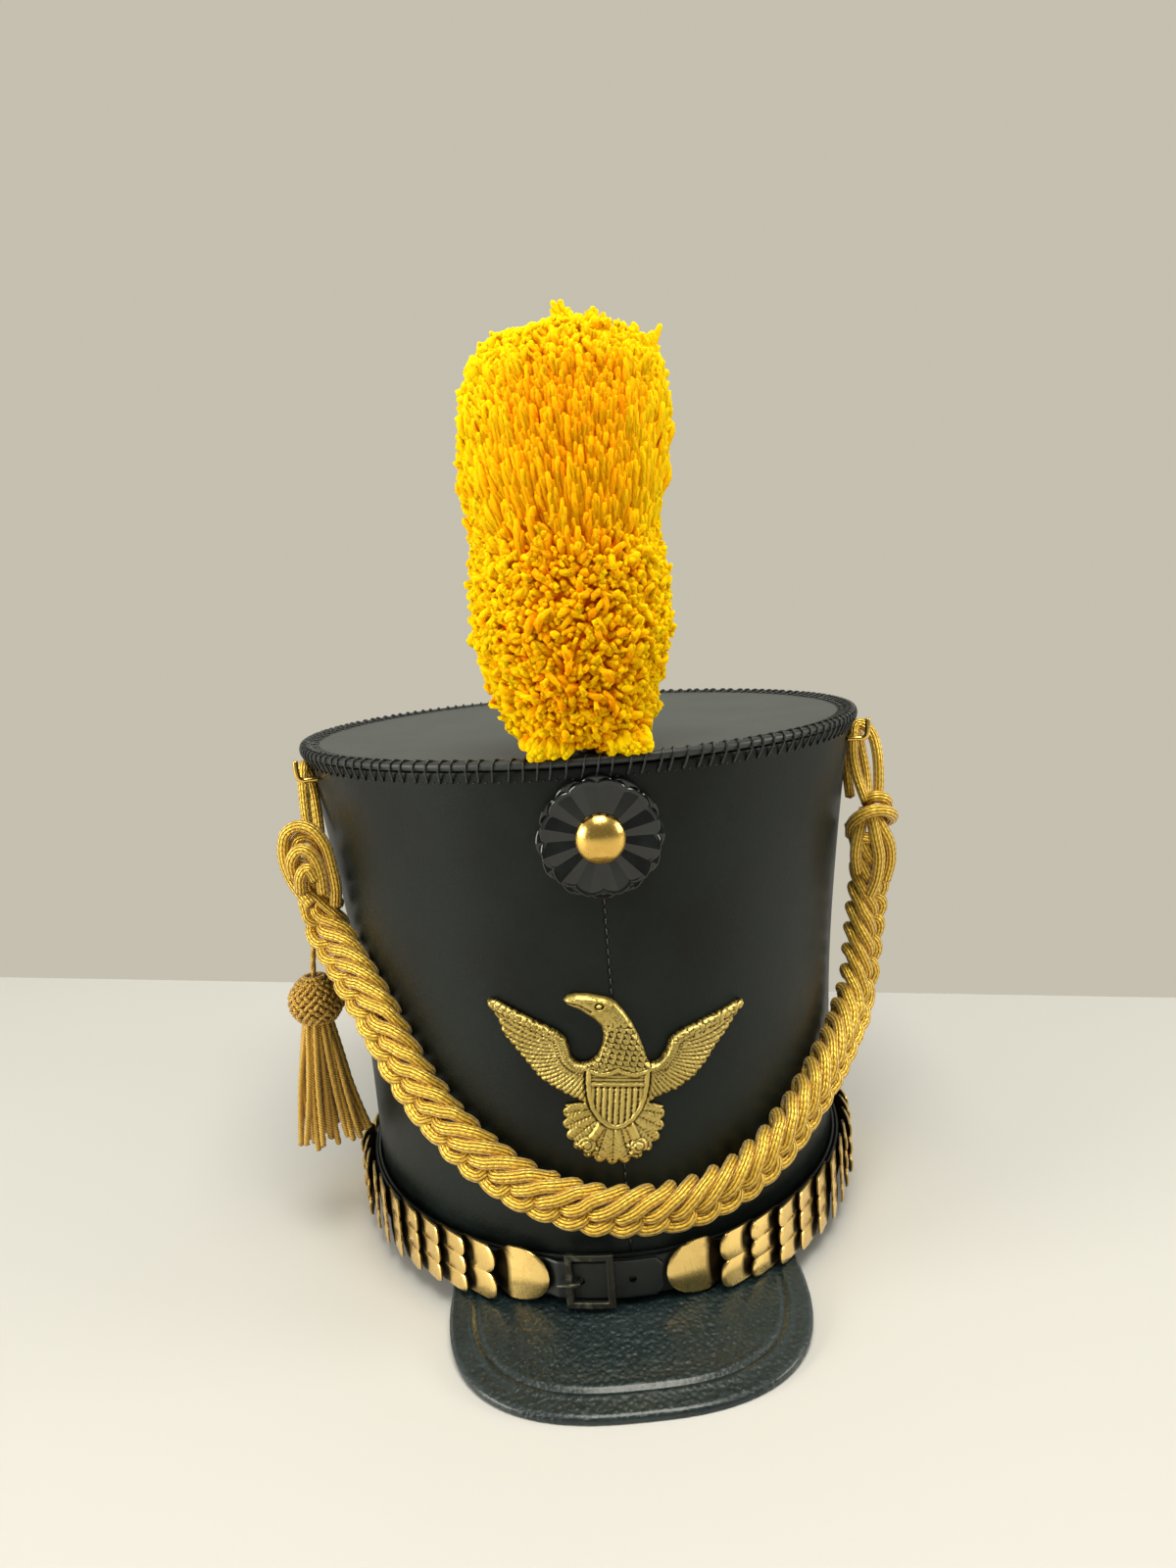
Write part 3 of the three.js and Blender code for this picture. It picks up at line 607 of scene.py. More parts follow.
def twisted_gold():
    """Thin gold cord of two plies: fine threads wind round each ply, with painted shade between the threads.
    """
    finish = Finish("twisted_gold", Metallic=0.45, Sheen_Weight=0.25)
    turn, length = finish.pattern()
    thread = ((turn * 4 + length * 1.1) * math.pi).sine()
    fibre = finish.noise(1500, 2, 0.6)
    # painted shade: darker between the threads, lighter on their raised tops
    tone = (abs(thread) * 0.7 + fibre * 0.45).between(0.2, 0.95)
    finish.feed("Base Color", finish.colours(tone, (0.15, 0.062, 0.004), (0.74, 0.44, 0.055)))
    finish.feed("Roughness", 0.5 - tone * 0.12)
    finish.bump(abs(thread) + fibre * 0.4, 0.16, 0.7)
    return finish


def plume_wool():
    """Yellow wool yarn: deep orange roots as painted shade inside the plume, lemon tips, each tuft a little
    different.
    """
    finish = Finish("plume_wool", Roughness=0.9, Specular_IOR_Level=0.06,
                    Subsurface_Weight=0.35, Subsurface_Scale=0.003)
    finish.shader.inputs["Subsurface Radius"].default_value = (1.0, 0.62, 0.12)
    turn, length = finish.pattern()
    strand = ((turn * 3 + length * 0.35) * 2 * math.pi).sine() * 0.5 + 0.5
    fuzz = finish.noise(1700, 3, 0.65)
    # the tint brings painted shade and light from the tufts; the raised plies are a little lighter as painted
    # light
    tone = (finish.tint() + fuzz * 0.3 - 0.15 + strand * 0.12).held()
    low = finish.colours(tone.between(0, 0.5), (0.76, 0.165, 0.0), (1.0, 0.365, 0.0))
    finish.feed("Base Color", finish.colours(tone.between(0.5, 1), low, (1.0, 0.60, 0.001)))
    finish.bump(strand * 0.6 + fuzz, 0.35, 0.8)
    return finish


GOLD = gold_cord()
THIN_GOLD = twisted_gold()
THREAD = black_thread()
BRIGHT = bright_brass()
CAST = cast_brass()
STRAP_LEATHER = strap_leather()

# ------------------------------------------------------------------ festoon
# the middle line of the chained cord, from the knot on the left to the knot on the right
FESTOON = [
    (-93, -49.5, 130), (-91.6, -48, 119), (-89.8, -48.5, 108.6), (-84.7, -55, 100.3), (-79.2, -64, 93.6),
    (-72.4, -73.1, 84.2), (-62.9, -83.4, 68.2), (-54, -91, 57), (-41.8, -99.6, 46.3), (-29.7, -105.4, 39),
    (-17, -109.3, 34), (-5, -111.2, 31.5), (7, -111.1, 30.3), (18, -109.2, 30.2), (29, -105.7, 31.8),
    (39.2, -100.9, 34.8), (49, -94.6, 39.3), (58, -87, 44.6), (67, -77.6, 50.6), (75.2, -66.8, 56.3),
    (82.6, -55.4, 61.2), (88.6, -46.2, 67.4), (91.6, -42.6, 76.6), (93.2, -42.8, 89.6), (94.4, -44.6, 104),
    (95, -47.4, 116), (95.2, -49.6, 125),
]
CORD_R = 2.05
PITCH = 7.75            # one link of the chain along its middle line
PLIES = 3               # strands that take turns
STRAND_SIDES, STRAND_STEP = 14, 0.9
THIN_R, THINNER_R = 1.85, 1.7       # the same cord, drawn tight over the hooks
# how far the chain's face is turned towards the front at parts of its length, in degrees
FACE_TURN = {"part": [0, 0.12, 0.3, 0.5, 0.7, 0.86, 1], "degrees": [58, 50, 22, 2, 12, 40, 52]}
# one strand over three links: along the chain, across it towards its inner side, and out from the hat
LINK = [
    (-1.6, -1.4, -3.0), (-3.6, -2.6, -1.6), (-4.0, -4.5, -0.2), (-2.2, -6.1, 0.9), (0.6, -6.4, 1.6),
    (3.2, -5.6, 2.0), (4.7, -4.0, 1.6), (5.1, -2.6, 0.2), (5.6, -2.0, -1.2), (6.5, -2.1, 0.0),
    (7.5, -2.3, 1.8), (9.2, -1.7, 2.8), (11.4, -0.2, 3.2), (14.2, 1.8, 3.2), (17.0, 3.4, 2.7),
    (19.8, 4.3, 1.5), (22.4, 4.5, -0.4), (24.0, 3.9, -2.3), (23.6, 2.2, -3.7), (22.0, 0.6, -4.1),
]


def spine():
    """Along the chain's middle line: its points, and the directions across it and out from it."""
    line = smooth(FESTOON, 1.0)
    ahead = unit(np.gradient(line, axis=0))
    a, b, c = oval(line[:, 2])
    out = np.stack([line[:, 0] / a ** 2, (line[:, 1] - c) / b ** 2, 0 * a], -1)
    out = unit(out - dot(out, ahead) * ahead)
    across = np.cross(out, ahead)
    part = np.linspace(0, 1, len(line))
    turn = np.radians(np.interp(part, FACE_TURN["part"], FACE_TURN["degrees"]))[:, None]
    return line, across * np.cos(turn) - out * np.sin(turn), out * np.cos(turn) + across * np.sin(turn)


def chain():
    """The chained cord: three strands, each following the same link a third of a repeat behind the last."""
    line, across, out = spine()
    length = np.linalg.norm(np.diff(line, axis=0), axis=1).sum()
    stations = np.linspace(0, length, len(line))
    links = int(length / PITCH)
    strands = []
    for strand in range(PLIES):
        first = np.arange(strand - PLIES, links, PLIES)
        jitter = random.normal(0, 0.16, (len(first), len(LINK), 3))
        local = (np.array(LINK) + jitter + (first * PITCH)[:, None, None] * (1, 0, 0)).reshape(-1, 3)
        local[:, 0] = np.clip(local[:, 0], 0, length)
        local = smooth(local, STRAND_STEP)
        places = [np.stack([np.interp(local[:, 0], stations, column) for column in basis.T], -1)
                  for basis in (line, across, out)]
        path = places[0] + local[:, 1:2] * places[1] + local[:, 2:3] * places[2]
        strands.append(tubes(path, CORD_R, STRAND_SIDES))
    return joined(*strands), line, length


def strand(points, radius=CORD_R):
    """One strand of the same cord through given points."""
    return tubes(smooth(points, STRAND_STEP), radius, STRAND_SIDES)


def knots():
    """The cord's first turn on the left, and the turns that bind it on the right."""
    left = [
        (-93.5, -57.0, 117), (-99.0, -54.5, 125), (-101.2, -54.0, 133), (-100.0, -54.5, 140.5),
        (-95.6, -55.5, 143.6), (-90.6, -56.0, 142.0), (-87.2, -56.4, 137), (-85.8, -56.4, 130.0),
        (-85.2, -55.6, 122.5), (-86.4, -52.5, 116),
    ]
    inner = [
        (-97.6, -50.5, 126), (-98.2, -52.0, 134), (-95.6, -53.5, 139.2), (-91.0, -53.4, 138.4),
        (-88.6, -52.0, 132),
    ]
    wrap = [
        (88.9, -48.5, 124.5), (88.6, -51.5, 129), (90.4, -55.4, 132.4), (94.2, -57.4, 134.2),
        (98.4, -56.8, 133.8), (101.8, -53.4, 131.6), (102.4, -48.6, 129.0), (99.6, -44.6, 127.6),
    ]
    upper = [
        (94.0, -50.4, 135.6), (95.4, -53.8, 138.0), (98.8, -54.0, 137.6), (101.0, -50.6, 134.6),
        (100.6, -46.6, 130.6),
    ]
    lower = [
        (93.0, -52.0, 134), (90.8, -52.8, 127.0), (89.2, -52.6, 119.0), (90.4, -50.2, 112.0),
    ]
    spread = [
        (95.2, -53.0, 133), (97.8, -54.0, 128), (100.6, -53.0, 122), (101.6, -50.2, 115),
        (100.4, -48.0, 108),
    ]
    middle = [
        (94.4, -54.2, 132), (95.4, -55.2, 125), (96.6, -54.6, 117.6), (96.0, -52.6, 110),
        (94.4, -50.0, 104),
    ]
    back = [(89.4, -46.0, 128), (91.6, -43.8, 121), (93.6, -42.8, 112), (95.6, -42.6, 104)]
    heart = [
        (-98.4, -55.4, 127), (-98.2, -57.4, 132.6), (-95.0, -58.6, 136.4), (-91.2, -58.4, 134.4),
        (-89.4, -57.6, 128.6), (-89.2, -56.4, 121),
    ]
    under = [(-96.4, -56.6, 122), (-95.6, -58.4, 127.4), (-93.0, -58.8, 130.2), (-91.0, -57.8, 126)]
    made = joined(*[strand(turn) for turn in (left, inner, heart, under)])
    piece("knot_left_turns", made, GOLD, ["knot_left"])

    made = joined(*[strand(turn) for turn in (wrap, upper, lower, spread, middle, back)])
    piece("knot_right_turns", made, GOLD, ["knot_right"])


def hanging_loops():
    """The strands that go up from each knot, over the hook and down again."""
    left = [
        (-92.6, -51.6, 139.5), (-93.2, -50.6, 147), (-93.6, -48.4, 155), (-93.7, -46.6, 160.4),
        (-93.5, -44.6, 162.0), (-93.0, -42.6, 160.2), (-92.0, -41.6, 154), (-91.0, -43.4, 146),
        (-90.4, -46.0, 139),
    ]
    outer = [
        (97.6, -51.4, 136.5), (98.4, -50.6, 143), (98.7, -49.4, 151), (98.0, -47.4, 157.6),
        (95.8, -45.4, 161.4), (93.0, -44.8, 161.8), (91.6, -46.2, 158.0), (90.9, -47.6, 151),
        (91.8, -50.0, 143.5), (93.4, -53.0, 136.5),
    ]
    inner = [
        (95.6, -46.8, 136), (96.2, -43.6, 144), (95.4, -42.0, 152), (93.9, -42.4, 159.2),
        (92.2, -41.2, 161.0), (90.7, -40.0, 156.0), (90.3, -40.6, 147), (90.4, -43.6, 137),
    ]
    piece("hanging_strands_left", strand(left, THIN_R), GOLD, ["hanging_loop_left"])
    made = joined(strand(outer, THIN_R), strand(inner, THINNER_R))
    piece("hanging_strands_right", made, GOLD, ["hanging_loop_right"])


HOOK = {"angle": 65, "z": 158.2, "r": 0.9, "reach": 7.2, "tip": 164.8}


def hooks():
    """Bent brass wires that leave the wall, run out under the cord and turn up."""
    for name, side in (("left", -1), ("right", 1)):
        angle = side * math.radians(HOOK["angle"])
        heights = [HOOK["z"]] * 3 + [HOOK["z"] + 0.9, HOOK["z"] + 3.4, HOOK["tip"]]
        reaches = [0.3, 4.8, HOOK["reach"] - 2, HOOK["reach"] - 0.5, HOOK["reach"], HOOK["reach"]]
        seat = around(angle, HOOK["z"])
        outward = around(angle, HOOK["z"], 1) - seat
        route = seat + np.array(reaches)[:, None] * outward
        route[:, 2] = heights
        piece(f"hook_wire_{name}", tubes(smooth(route, 0.5), HOOK["r"], 16), BRIGHT,
              [f"cord_hook_{name}"])


def festoon():
    """The chained cord with its knots and hanging strands."""
    knots()
    hanging_loops()
    hooks()
    form, line, length = chain()
    made = piece("festoon_chain", form, GOLD, ["festoon_braid"])
    length * MM


# ------------------------------------------------------------------ tassel
TASSEL = {"x": -99, "y": -38, "z": 78.7, "half": 9, "r": 9.3, "cord": 1.0, "skirt": 42.5}
TASSEL_ROUTE = [
    (-93.6, -41.2, 156), (-94, -39.6, 146), (-95.2, -37.8, 130), (-96.6, -37.6, 110), (-98.6, -38, 94),
    (-99, -38, 88.4), (-99, -38, 76), (-99, -38, 64),
]


def plied(paths, radius, lay=3.4, sides=10):
    """Twisted cords of two plies: the radius swells once for each ply round a section that turns."""
    plies, depth = 2, 0.26
    paths = np.asarray(paths, float)
    paths = paths[None] if paths.ndim == 2 else paths
    steps = np.linalg.norm(np.diff(paths, axis=1), axis=-1)
    length = np.concatenate([np.zeros((len(paths), 1)), np.cumsum(steps, 1)], 1)
    angle = 2 * np.pi * np.arange(sides) / sides
    swell = np.abs(np.cos(plies / 2 * (angle - 2 * np.pi * length[..., None] / lay / plies)))
    radius = np.broadcast_to(np.asarray(radius, float)[..., None], swell.shape)
    return tubes(paths, radius * (1 - depth + depth * swell), sides)


def tassel_head():
    """A ball covered with knotted netting: two sets of cords wind over it, and a knot sits on each crossing.

    The ball's radius at a part t of its height is its full radius times the sine of pi t to the power 0.62.
    """
    half, radius = TASSEL["half"], TASSEL["r"]
    middle = np.array([TASSEL["x"], TASSEL["y"], TASSEL["z"]])

    def on_ball(angle, part, out):
        spread = (radius - 1.1 + out) * np.sin(np.pi * np.clip(part, 0.03, 0.985)) ** 0.62
        level = (half + 0.3) * (1 - 2 * part)
        return middle + np.stack([spread * np.sin(angle), -spread * np.cos(angle), level + 0 * angle], -1)

    profile = [((radius - 1.6) * math.sin(math.pi * part) ** 0.62, half * (2 * part - 1))
               for part in np.linspace(0.03, 0.97, 16)]
    core = turned(profile, 28, middle, (0, 0, 1))
    count, rounds = 17, 0.42
    part = np.linspace(0.05, 0.95, 34)[None, :]
    start = 2 * np.pi * np.arange(count)[:, None] / count
    nets = []
    for way in (-1, 1):
        over_and_under = 0.25 * np.cos(part * 90 * way)
        nets.append(plied(on_ball(start + way * 2 * np.pi * rounds * part, part, over_and_under), 0.78))
    row = np.arange(1, 14)
    angle = start + np.pi / count * (row % 2)
    seat = on_ball(angle, row / 14.3 + 0 * angle, 0.55).reshape(-1, 3)
    facing = unit(seat - middle)
    sideways = unit(np.cross(facing, (0, 0, 1)))
    slant = unit(sideways * 0.7 + np.cross(sideways, facing) * 0.7 * random.choice([-1, 1], (len(seat), 1)))
    knot = seat[:, None] + slant[:, None] * np.linspace(-1.05, 1.05, 5)[None, :, None]
    knot = knot + facing[:, None] * (0.5 * np.cos(np.linspace(-1.4, 1.4, 5)))[None, :, None]
    form = joined(core, *nets, plied(knot, 0.8))
    return piece("tassel_netting", form, THIN_GOLD, ["tassel_head"])


def tassel_skirt():
    """Twisted strands that hang from the ball: each leaves its rim, swings a little and ends ragged."""
    count = 40
    turn = np.arange(count) * GOLDEN_TURN
    ring = np.sqrt((np.arange(count) + 0.6) / count)
    top = TASSEL["z"] - TASSEL["half"] + 2.2
    drop = TASSEL["skirt"] + 1.0 + random.uniform(-3.2, 1.4, count)
    part = np.linspace(0, 1, 44)
    flare = 4.6 * ring[:, None] + (1.2 + 5.4 * ring[:, None]) * part ** 0.8
    swing = random.normal(0, 0.9, (count, 2))[:, :, None] * np.sin(np.pi * part) ** 1.3
    drift = random.normal(0, 1.1, (count, 2))[:, :, None] * part ** 2
    lean = np.clip(np.sin(turn), 0, 1)[:, None] * 3.4 * part ** 2.4
    x = TASSEL["x"] + flare * np.sin(turn)[:, None] + swing[:, 0] + drift[:, 0] + lean
    y = TASSEL["y"] - flare * np.cos(turn)[:, None] + swing[:, 1] + drift[:, 1]
    z = top - drop[:, None] * part
    strands = plied(np.stack([x, y, z], -1), 1.12, lay=3.0, sides=8)
    return piece("tassel_fringe", strands, THIN_GOLD, ["tassel_skirt"])


def tassel():
    """A thin twisted cord from the hook down to the netted ball and its fringe."""
    head, skirt = tassel_head(), tassel_skirt()
    route = smooth(TASSEL_ROUTE, 0.6)
    line = plied(route, TASSEL["cord"], lay=4, sides=12)
    made = piece("tassel_line", line, THIN_GOLD, ["tassel_cord"])


# ------------------------------------------------------------------ crown, top edge and band
SEAM = {"top": 127, "drift": 1.4, "depth": 0.4, "half": 0.32, "stitch": 3.1, "thread": 0.3}
WELT_R = 1.4
DISC = {"low": 164.5, "high": 166.5, "out": -1.7}
WELT_Z = DISC["low"] + WELT_R
WHIP = {"count": 146, "slant": 3.0, "thread": 0.35}
WHIP_SECTION = [        # distance out from the wall, height
    (0.1, 161.0), (0.5, 161.9), (0.9, 163.2), (1.65, 165.0), (1.72, 166.3), (1.05, 167.4), (0, 167.75),
    (-1.3, 167.35), (-2.4, 166.85), (-4.0, 166.8), (-4.9, 166.2),
]
BAND = {"low": -0.9, "high": 13, "leather": 1.2}
EDGE_ROUND = 0.3


def seam_x(z):
    """The front seam's distance from the middle, which grows evenly from its top down."""
    return SEAM["drift"] * (SEAM["top"] - z) / SEAM["top"]


def section(low, high, back, front):
    """A strip's section as heights and distances out: back edge up, over the top, down the front.

    Each corner is a quarter circle of three points.
    """
    corners = [(low, back), (high, back), (high, front), (low, front)]
    middle = np.array([(low + high) / 2, (back + front) / 2])
    points = []
    for k, (z, out) in enumerate(corners):
        centre = np.array([z, out]) + np.sign(middle - (z, out)) * EDGE_ROUND
        for turn in (0, 0.5, 1):
            angle = np.pi * (1.5 - 0.5 * (k + turn))
            points.append(centre + EDGE_ROUND * np.array([np.sin(angle), np.cos(angle)]))
    return np.array(points)


def crown():
    """The crown's wall: its section goes up the outside and down the inside, and follows the oval.

    The seam is a groove whose depth falls away from its line as e to the minus square of the distance.
    """
    near = np.arange(-3.0, 3.01, 0.25) / BASE_A
    far = np.linspace(near[-1], 2 * np.pi + near[0], 214)[1:-1]
    angle = np.concatenate([near, far])
    foot, shoulder = [RIM, RIM + 0.3, RIM + 1], [WALL_TOP - 0.8, WALL_TOP - 0.25]
    outer = np.concatenate([foot, np.arange(2, WALL_TOP - 1, 3.2), shoulder])
    inner = np.array([WALL_TOP, WALL_TOP - 0.3, 150, 120, 90, 60, 30, RIM + 0.3, RIM])
    outside = np.zeros(len(outer))
    outside[[0, -1]] = -0.45, -0.12
    inside = np.full(len(inner), -float(WALL))
    inside[[0, -1]] = -0.5, -1.5
    z = np.concatenate([outer, inner])[:, None] + 0 * angle
    out = np.concatenate([outside, inside])[:, None] + 0 * angle
    front = np.arange(len(z))[:, None] < len(outer)
    x = np.sin(angle) * BASE_A
    groove = np.exp(-((x - seam_x(z)) / SEAM["half"]) ** 2) * (z < SEAM["top"]) * (np.cos(angle) > 0)
    wave = 0.22 * np.sin(3 * angle + z / 31) * np.sin(z / 23 + 2 * angle + 0.6)
    out = out + front * (wave - SEAM["depth"] * groove)
    form = loop_skin(around(angle, z, out))
    piece("crown_shell", form, crown_leather(), ["crown_wall"])


def seam_stitches():
    """Short stitches of waxed thread that dip into the seam at both ends."""
    z = np.arange(BAND["high"] + 3, SEAM["top"] - 1, SEAM["stitch"])[:, None] + np.linspace(-1.05, 1.05, 6)
    out = 0.16 - 0.5 * np.abs(np.linspace(-1, 1, 6)) ** 3 + 0 * z
    path = around((seam_x(z) + 0.08) / BASE_A, z, out)
    piece("front_seam_stitches", tubes(path, SEAM["thread"], 6), THREAD)


def rim_point(angle, z, out):
    """A point near the top edge: over the wall's top it keeps the oval that the wall has there."""
    point = around(angle, np.minimum(z, WALL_TOP), out)
    point[..., 2] = z
    return point


def top():
    """The leather top: rings out along its underside, and back along its slightly uneven face."""
    angle = np.linspace(0, 2 * np.pi, 200, endpoint=False)
    under, edge = [0.02, 0.3, 0.6, 0.85, 0.985], [1, 1]
    face = [0.985, 0.93, 0.8, 0.66, 0.5, 0.34, 0.18, 0.04]
    part = np.array(under + edge + face)[:, None]
    low, high = DISC["low"], DISC["high"]
    heights = len(under) * [low] + [low + EDGE_ROUND, high - EDGE_ROUND] + len(face) * [high]
    heights = np.array(heights)[:, None]
    middle = np.array([0, TOP_SHIFT, 0.0])
    grid = middle + (around(angle, WALL_TOP, DISC["out"]) - middle) * part[..., None]
    on_face = np.arange(len(part))[:, None] > len(under + edge)
    dish = 0.35 * (1 - part ** 2) * np.sin(2 * angle + 4 * part) * on_face
    grid[..., 2] = heights + dish
    piece("top_leather", capped(grid), top_leather(), ["top_disc"])


def welt():
    """The round cord laid along the top edge."""
    angle = np.linspace(0, 2 * np.pi, 200, endpoint=False)
    turn = -np.linspace(0, 2 * np.pi, 14, endpoint=False)[:, None]
    grid = rim_point(angle, WALL_TOP, WELT_R * np.sin(turn) + 0 * angle)
    grid[..., 2] = WELT_Z + WELT_R * np.cos(turn)
    piece("edge_welt", loop_skin(grid[::-1]), THREAD, ["top_welt"])


def whipping():
    """The thread whipped over the edge cord, and the stitches between its turns on the wall."""
    count = WHIP["count"]
    knots_of_section = np.arange(len(WHIP_SECTION))
    stations = np.linspace(0, len(WHIP_SECTION) - 1, 15)
    out, z = (np.interp(stations, knots_of_section, column) for column in np.transpose(WHIP_SECTION))
    start = 2 * np.pi * np.arange(count)[:, None] / count + random.normal(0, 0.003, (count, 1))
    slant = WHIP["slant"] * random.uniform(0.75, 1.25, (count, 1)) / TOP_B * np.linspace(0, 1, 15)
    over = rim_point(start + slant, z + 0 * slant, out + 0 * slant)
    part = np.linspace(0, 1, 6)
    between = start + 2 * np.pi / count * (0.42 + 0.16 * part)
    below = rim_point(between, WHIP_SECTION[0][1] + 0 * part, 0.12 - 0.5 * np.abs(2 * part - 1) ** 3)
    form = joined(tubes(over, WHIP["thread"], 7), tubes(below, WHIP["thread"] * 0.6, 6))
    piece("edge_whip_stitches", form, THREAD)


def band():
    """The leather band round the foot of the crown."""
    angle = np.linspace(0, 2 * np.pi, 240, endpoint=False)
    z, out = section(BAND["low"], BAND["high"], GAP, GAP + BAND["leather"]).T
    grid = around(angle, z[:, None], out[:, None])
    piece("foot_band", loop_skin(grid[::-1]), STRAP_LEATHER, ["base_band"])


# ------------------------------------------------------------------ peak
PEAK = {"half": 56.2, "straight": 96, "depth": 49.5, "power": 2.5, "drop": 14.2, "leather": 2.4,
        "groove": 8.4}


def peak():
    """The peak: straight lines from the rim to its free edge, which is a squared-off round.

    The edge's x goes as the cosine and its y as the sine to the power 2/2.5. A groove is pressed in all along
    the edge, the strip outside it stands up a little, and the edge itself is rounded off.
    """
    columns, rows = 181, 64
    part = np.linspace(0, 1, columns)[:, None]
    angle = np.arcsin(PEAK["half"] / BASE_A) * (2 * part - 1)
    turn = np.pi * part
    power = 2 / PEAK["power"]
    edge_x = -PEAK["half"] * np.sign(np.cos(turn)) * np.abs(np.cos(turn)) ** power
    edge_y = -PEAK["straight"] - PEAK["depth"] * np.abs(np.sin(turn)) ** power
    root_x, root_y = (BASE_A - WALL) * np.sin(angle), -(BASE_B - WALL) * np.cos(angle)
    out = np.linspace(0, 1, rows)[None, :] ** 0.75
    x, y = root_x + (edge_x - root_x) * out, root_y + (edge_y - root_y) * out
    root_z = RIM - GAP
    slope = (PEAK["drop"] - PEAK["leather"] + root_z) / (PEAK["straight"] + PEAK["depth"] - BASE_B + WALL)
    fall = slope * np.hypot(edge_x - root_x, edge_y - root_y) * out
    rim = np.concatenate([np.stack([x[0], y[0]], -1), np.stack([x[:, -1], y[:, -1]], -1),
                          np.stack([x[-1], y[-1]], -1)])
    rim = evenly(rim, 0.5)
    inward = np.min(np.hypot(x[..., None] - rim[:, 0], y[..., None] - rim[:, 1]), -1)
    line = inward - PEAK["groove"]
    relief = (-0.65 * np.exp(-(line / 0.8) ** 2) + 0.3 * np.exp(-((line + 1.7) / 0.9) ** 2)
              + 0.18 * np.exp(-((line - 1.5) / 0.9) ** 2) - 0.9 * np.clip(1 - inward / 1.3, 0, 1) ** 2)
    upper = np.stack([x, y, root_z - fall + relief], -1)
    lower = np.stack([x, y, root_z - fall - PEAK["leather"] + 0.5 * np.clip(1 - inward / 1.2, 0, 1) ** 2], -1)
    form = sheet(upper[::-1], lower[::-1])
    piece("peak_leather", form, peak_leather(), ["peak"], crease=50)


# ------------------------------------------------------------------ straps and buckle
STRAP = {"leather": 1.2, "low": 0.4, "high": 12.4, "end": 164, "out": 1.8}
TONGUE = {"end": 9.9, "rise": -25, "risen": -20, "out": 3.3, "chamfer": 2.2, "hole": 0.9, "prong": -14,
          "hole_r": 1.15}
BUCKLE = {"width": 13.7, "height": 17.4, "bar": 2, "middle": -11.2, "z": 7.2, "thick": 1.8, "out": 4.8}
PRONG = {"r": 0.75, "tip": -20.4, "z": 6.8}


def strap():
    """Two straps: the right one lies under, and the left one rises over it and ends in a pierced tongue."""
    run = np.linspace(BUCKLE["middle"] - 3.6, STRAP["end"], 90)[:, None]
    z, out = section(STRAP["low"], STRAP["high"], STRAP["out"], STRAP["out"] + STRAP["leather"]).T
    piece("strap_under", capped(on_wall(run, z, out)), STRAP_LEATHER, ["strap_right"])

    cell = 0.4
    plain, fine = np.arange(-STRAP["end"], TONGUE["rise"], 3), np.arange(TONGUE["rise"], TONGUE["end"], cell)
    run = np.concatenate([plain, fine, [TONGUE["end"]]])[:, None]
    part = np.linspace(0, 1, 31)[None, :]
    trim = np.clip(run - TONGUE["end"] + TONGUE["chamfer"], 0, None)
    z = STRAP["low"] + trim + (STRAP["high"] - STRAP["low"] - 2 * trim) * part
    run = run + 0 * z
    middle = (STRAP["low"] + STRAP["high"]) / 2
    open_cells = np.zeros((run.shape[0] - 1, run.shape[1] - 1), bool)
    for hole in (TONGUE["hole"], TONGUE["prong"]):
        away = np.hypot(run - hole, z - middle)
        open_cells |= at_cells(away) < TONGUE["hole_r"]
        near = np.abs(away - TONGUE["hole_r"]) < cell * 0.75
        scale = np.where(near, TONGUE["hole_r"] / np.maximum(away, 1e-6), 1)
        run, z = hole + (run - hole) * scale, middle + (z - middle) * scale
    rise = np.clip((run - TONGUE["rise"]) / (TONGUE["risen"] - TONGUE["rise"]), 0, 1)
    back = STRAP["out"] + (TONGUE["out"] - STRAP["out"]) * rise ** 2 * (3 - 2 * rise)
    border = np.minimum(np.minimum(z - STRAP["low"] - trim, STRAP["high"] - trim - z), TONGUE["end"] - run)
    rounded = 0.35 * np.clip(1 - border / 0.5, 0, 1) ** 2
    faces, _, _ = weave(*run.shape)
    faces = faces[~open_cells.ravel()]
    upper = on_wall(run, z, back + STRAP["leather"] - rounded).reshape(-1, 3)
    lower = on_wall(run, z, back).reshape(-1, 3)
    piece("strap_over", slab(lower, upper, faces), STRAP_LEATHER, ["strap_left"], crease=50)


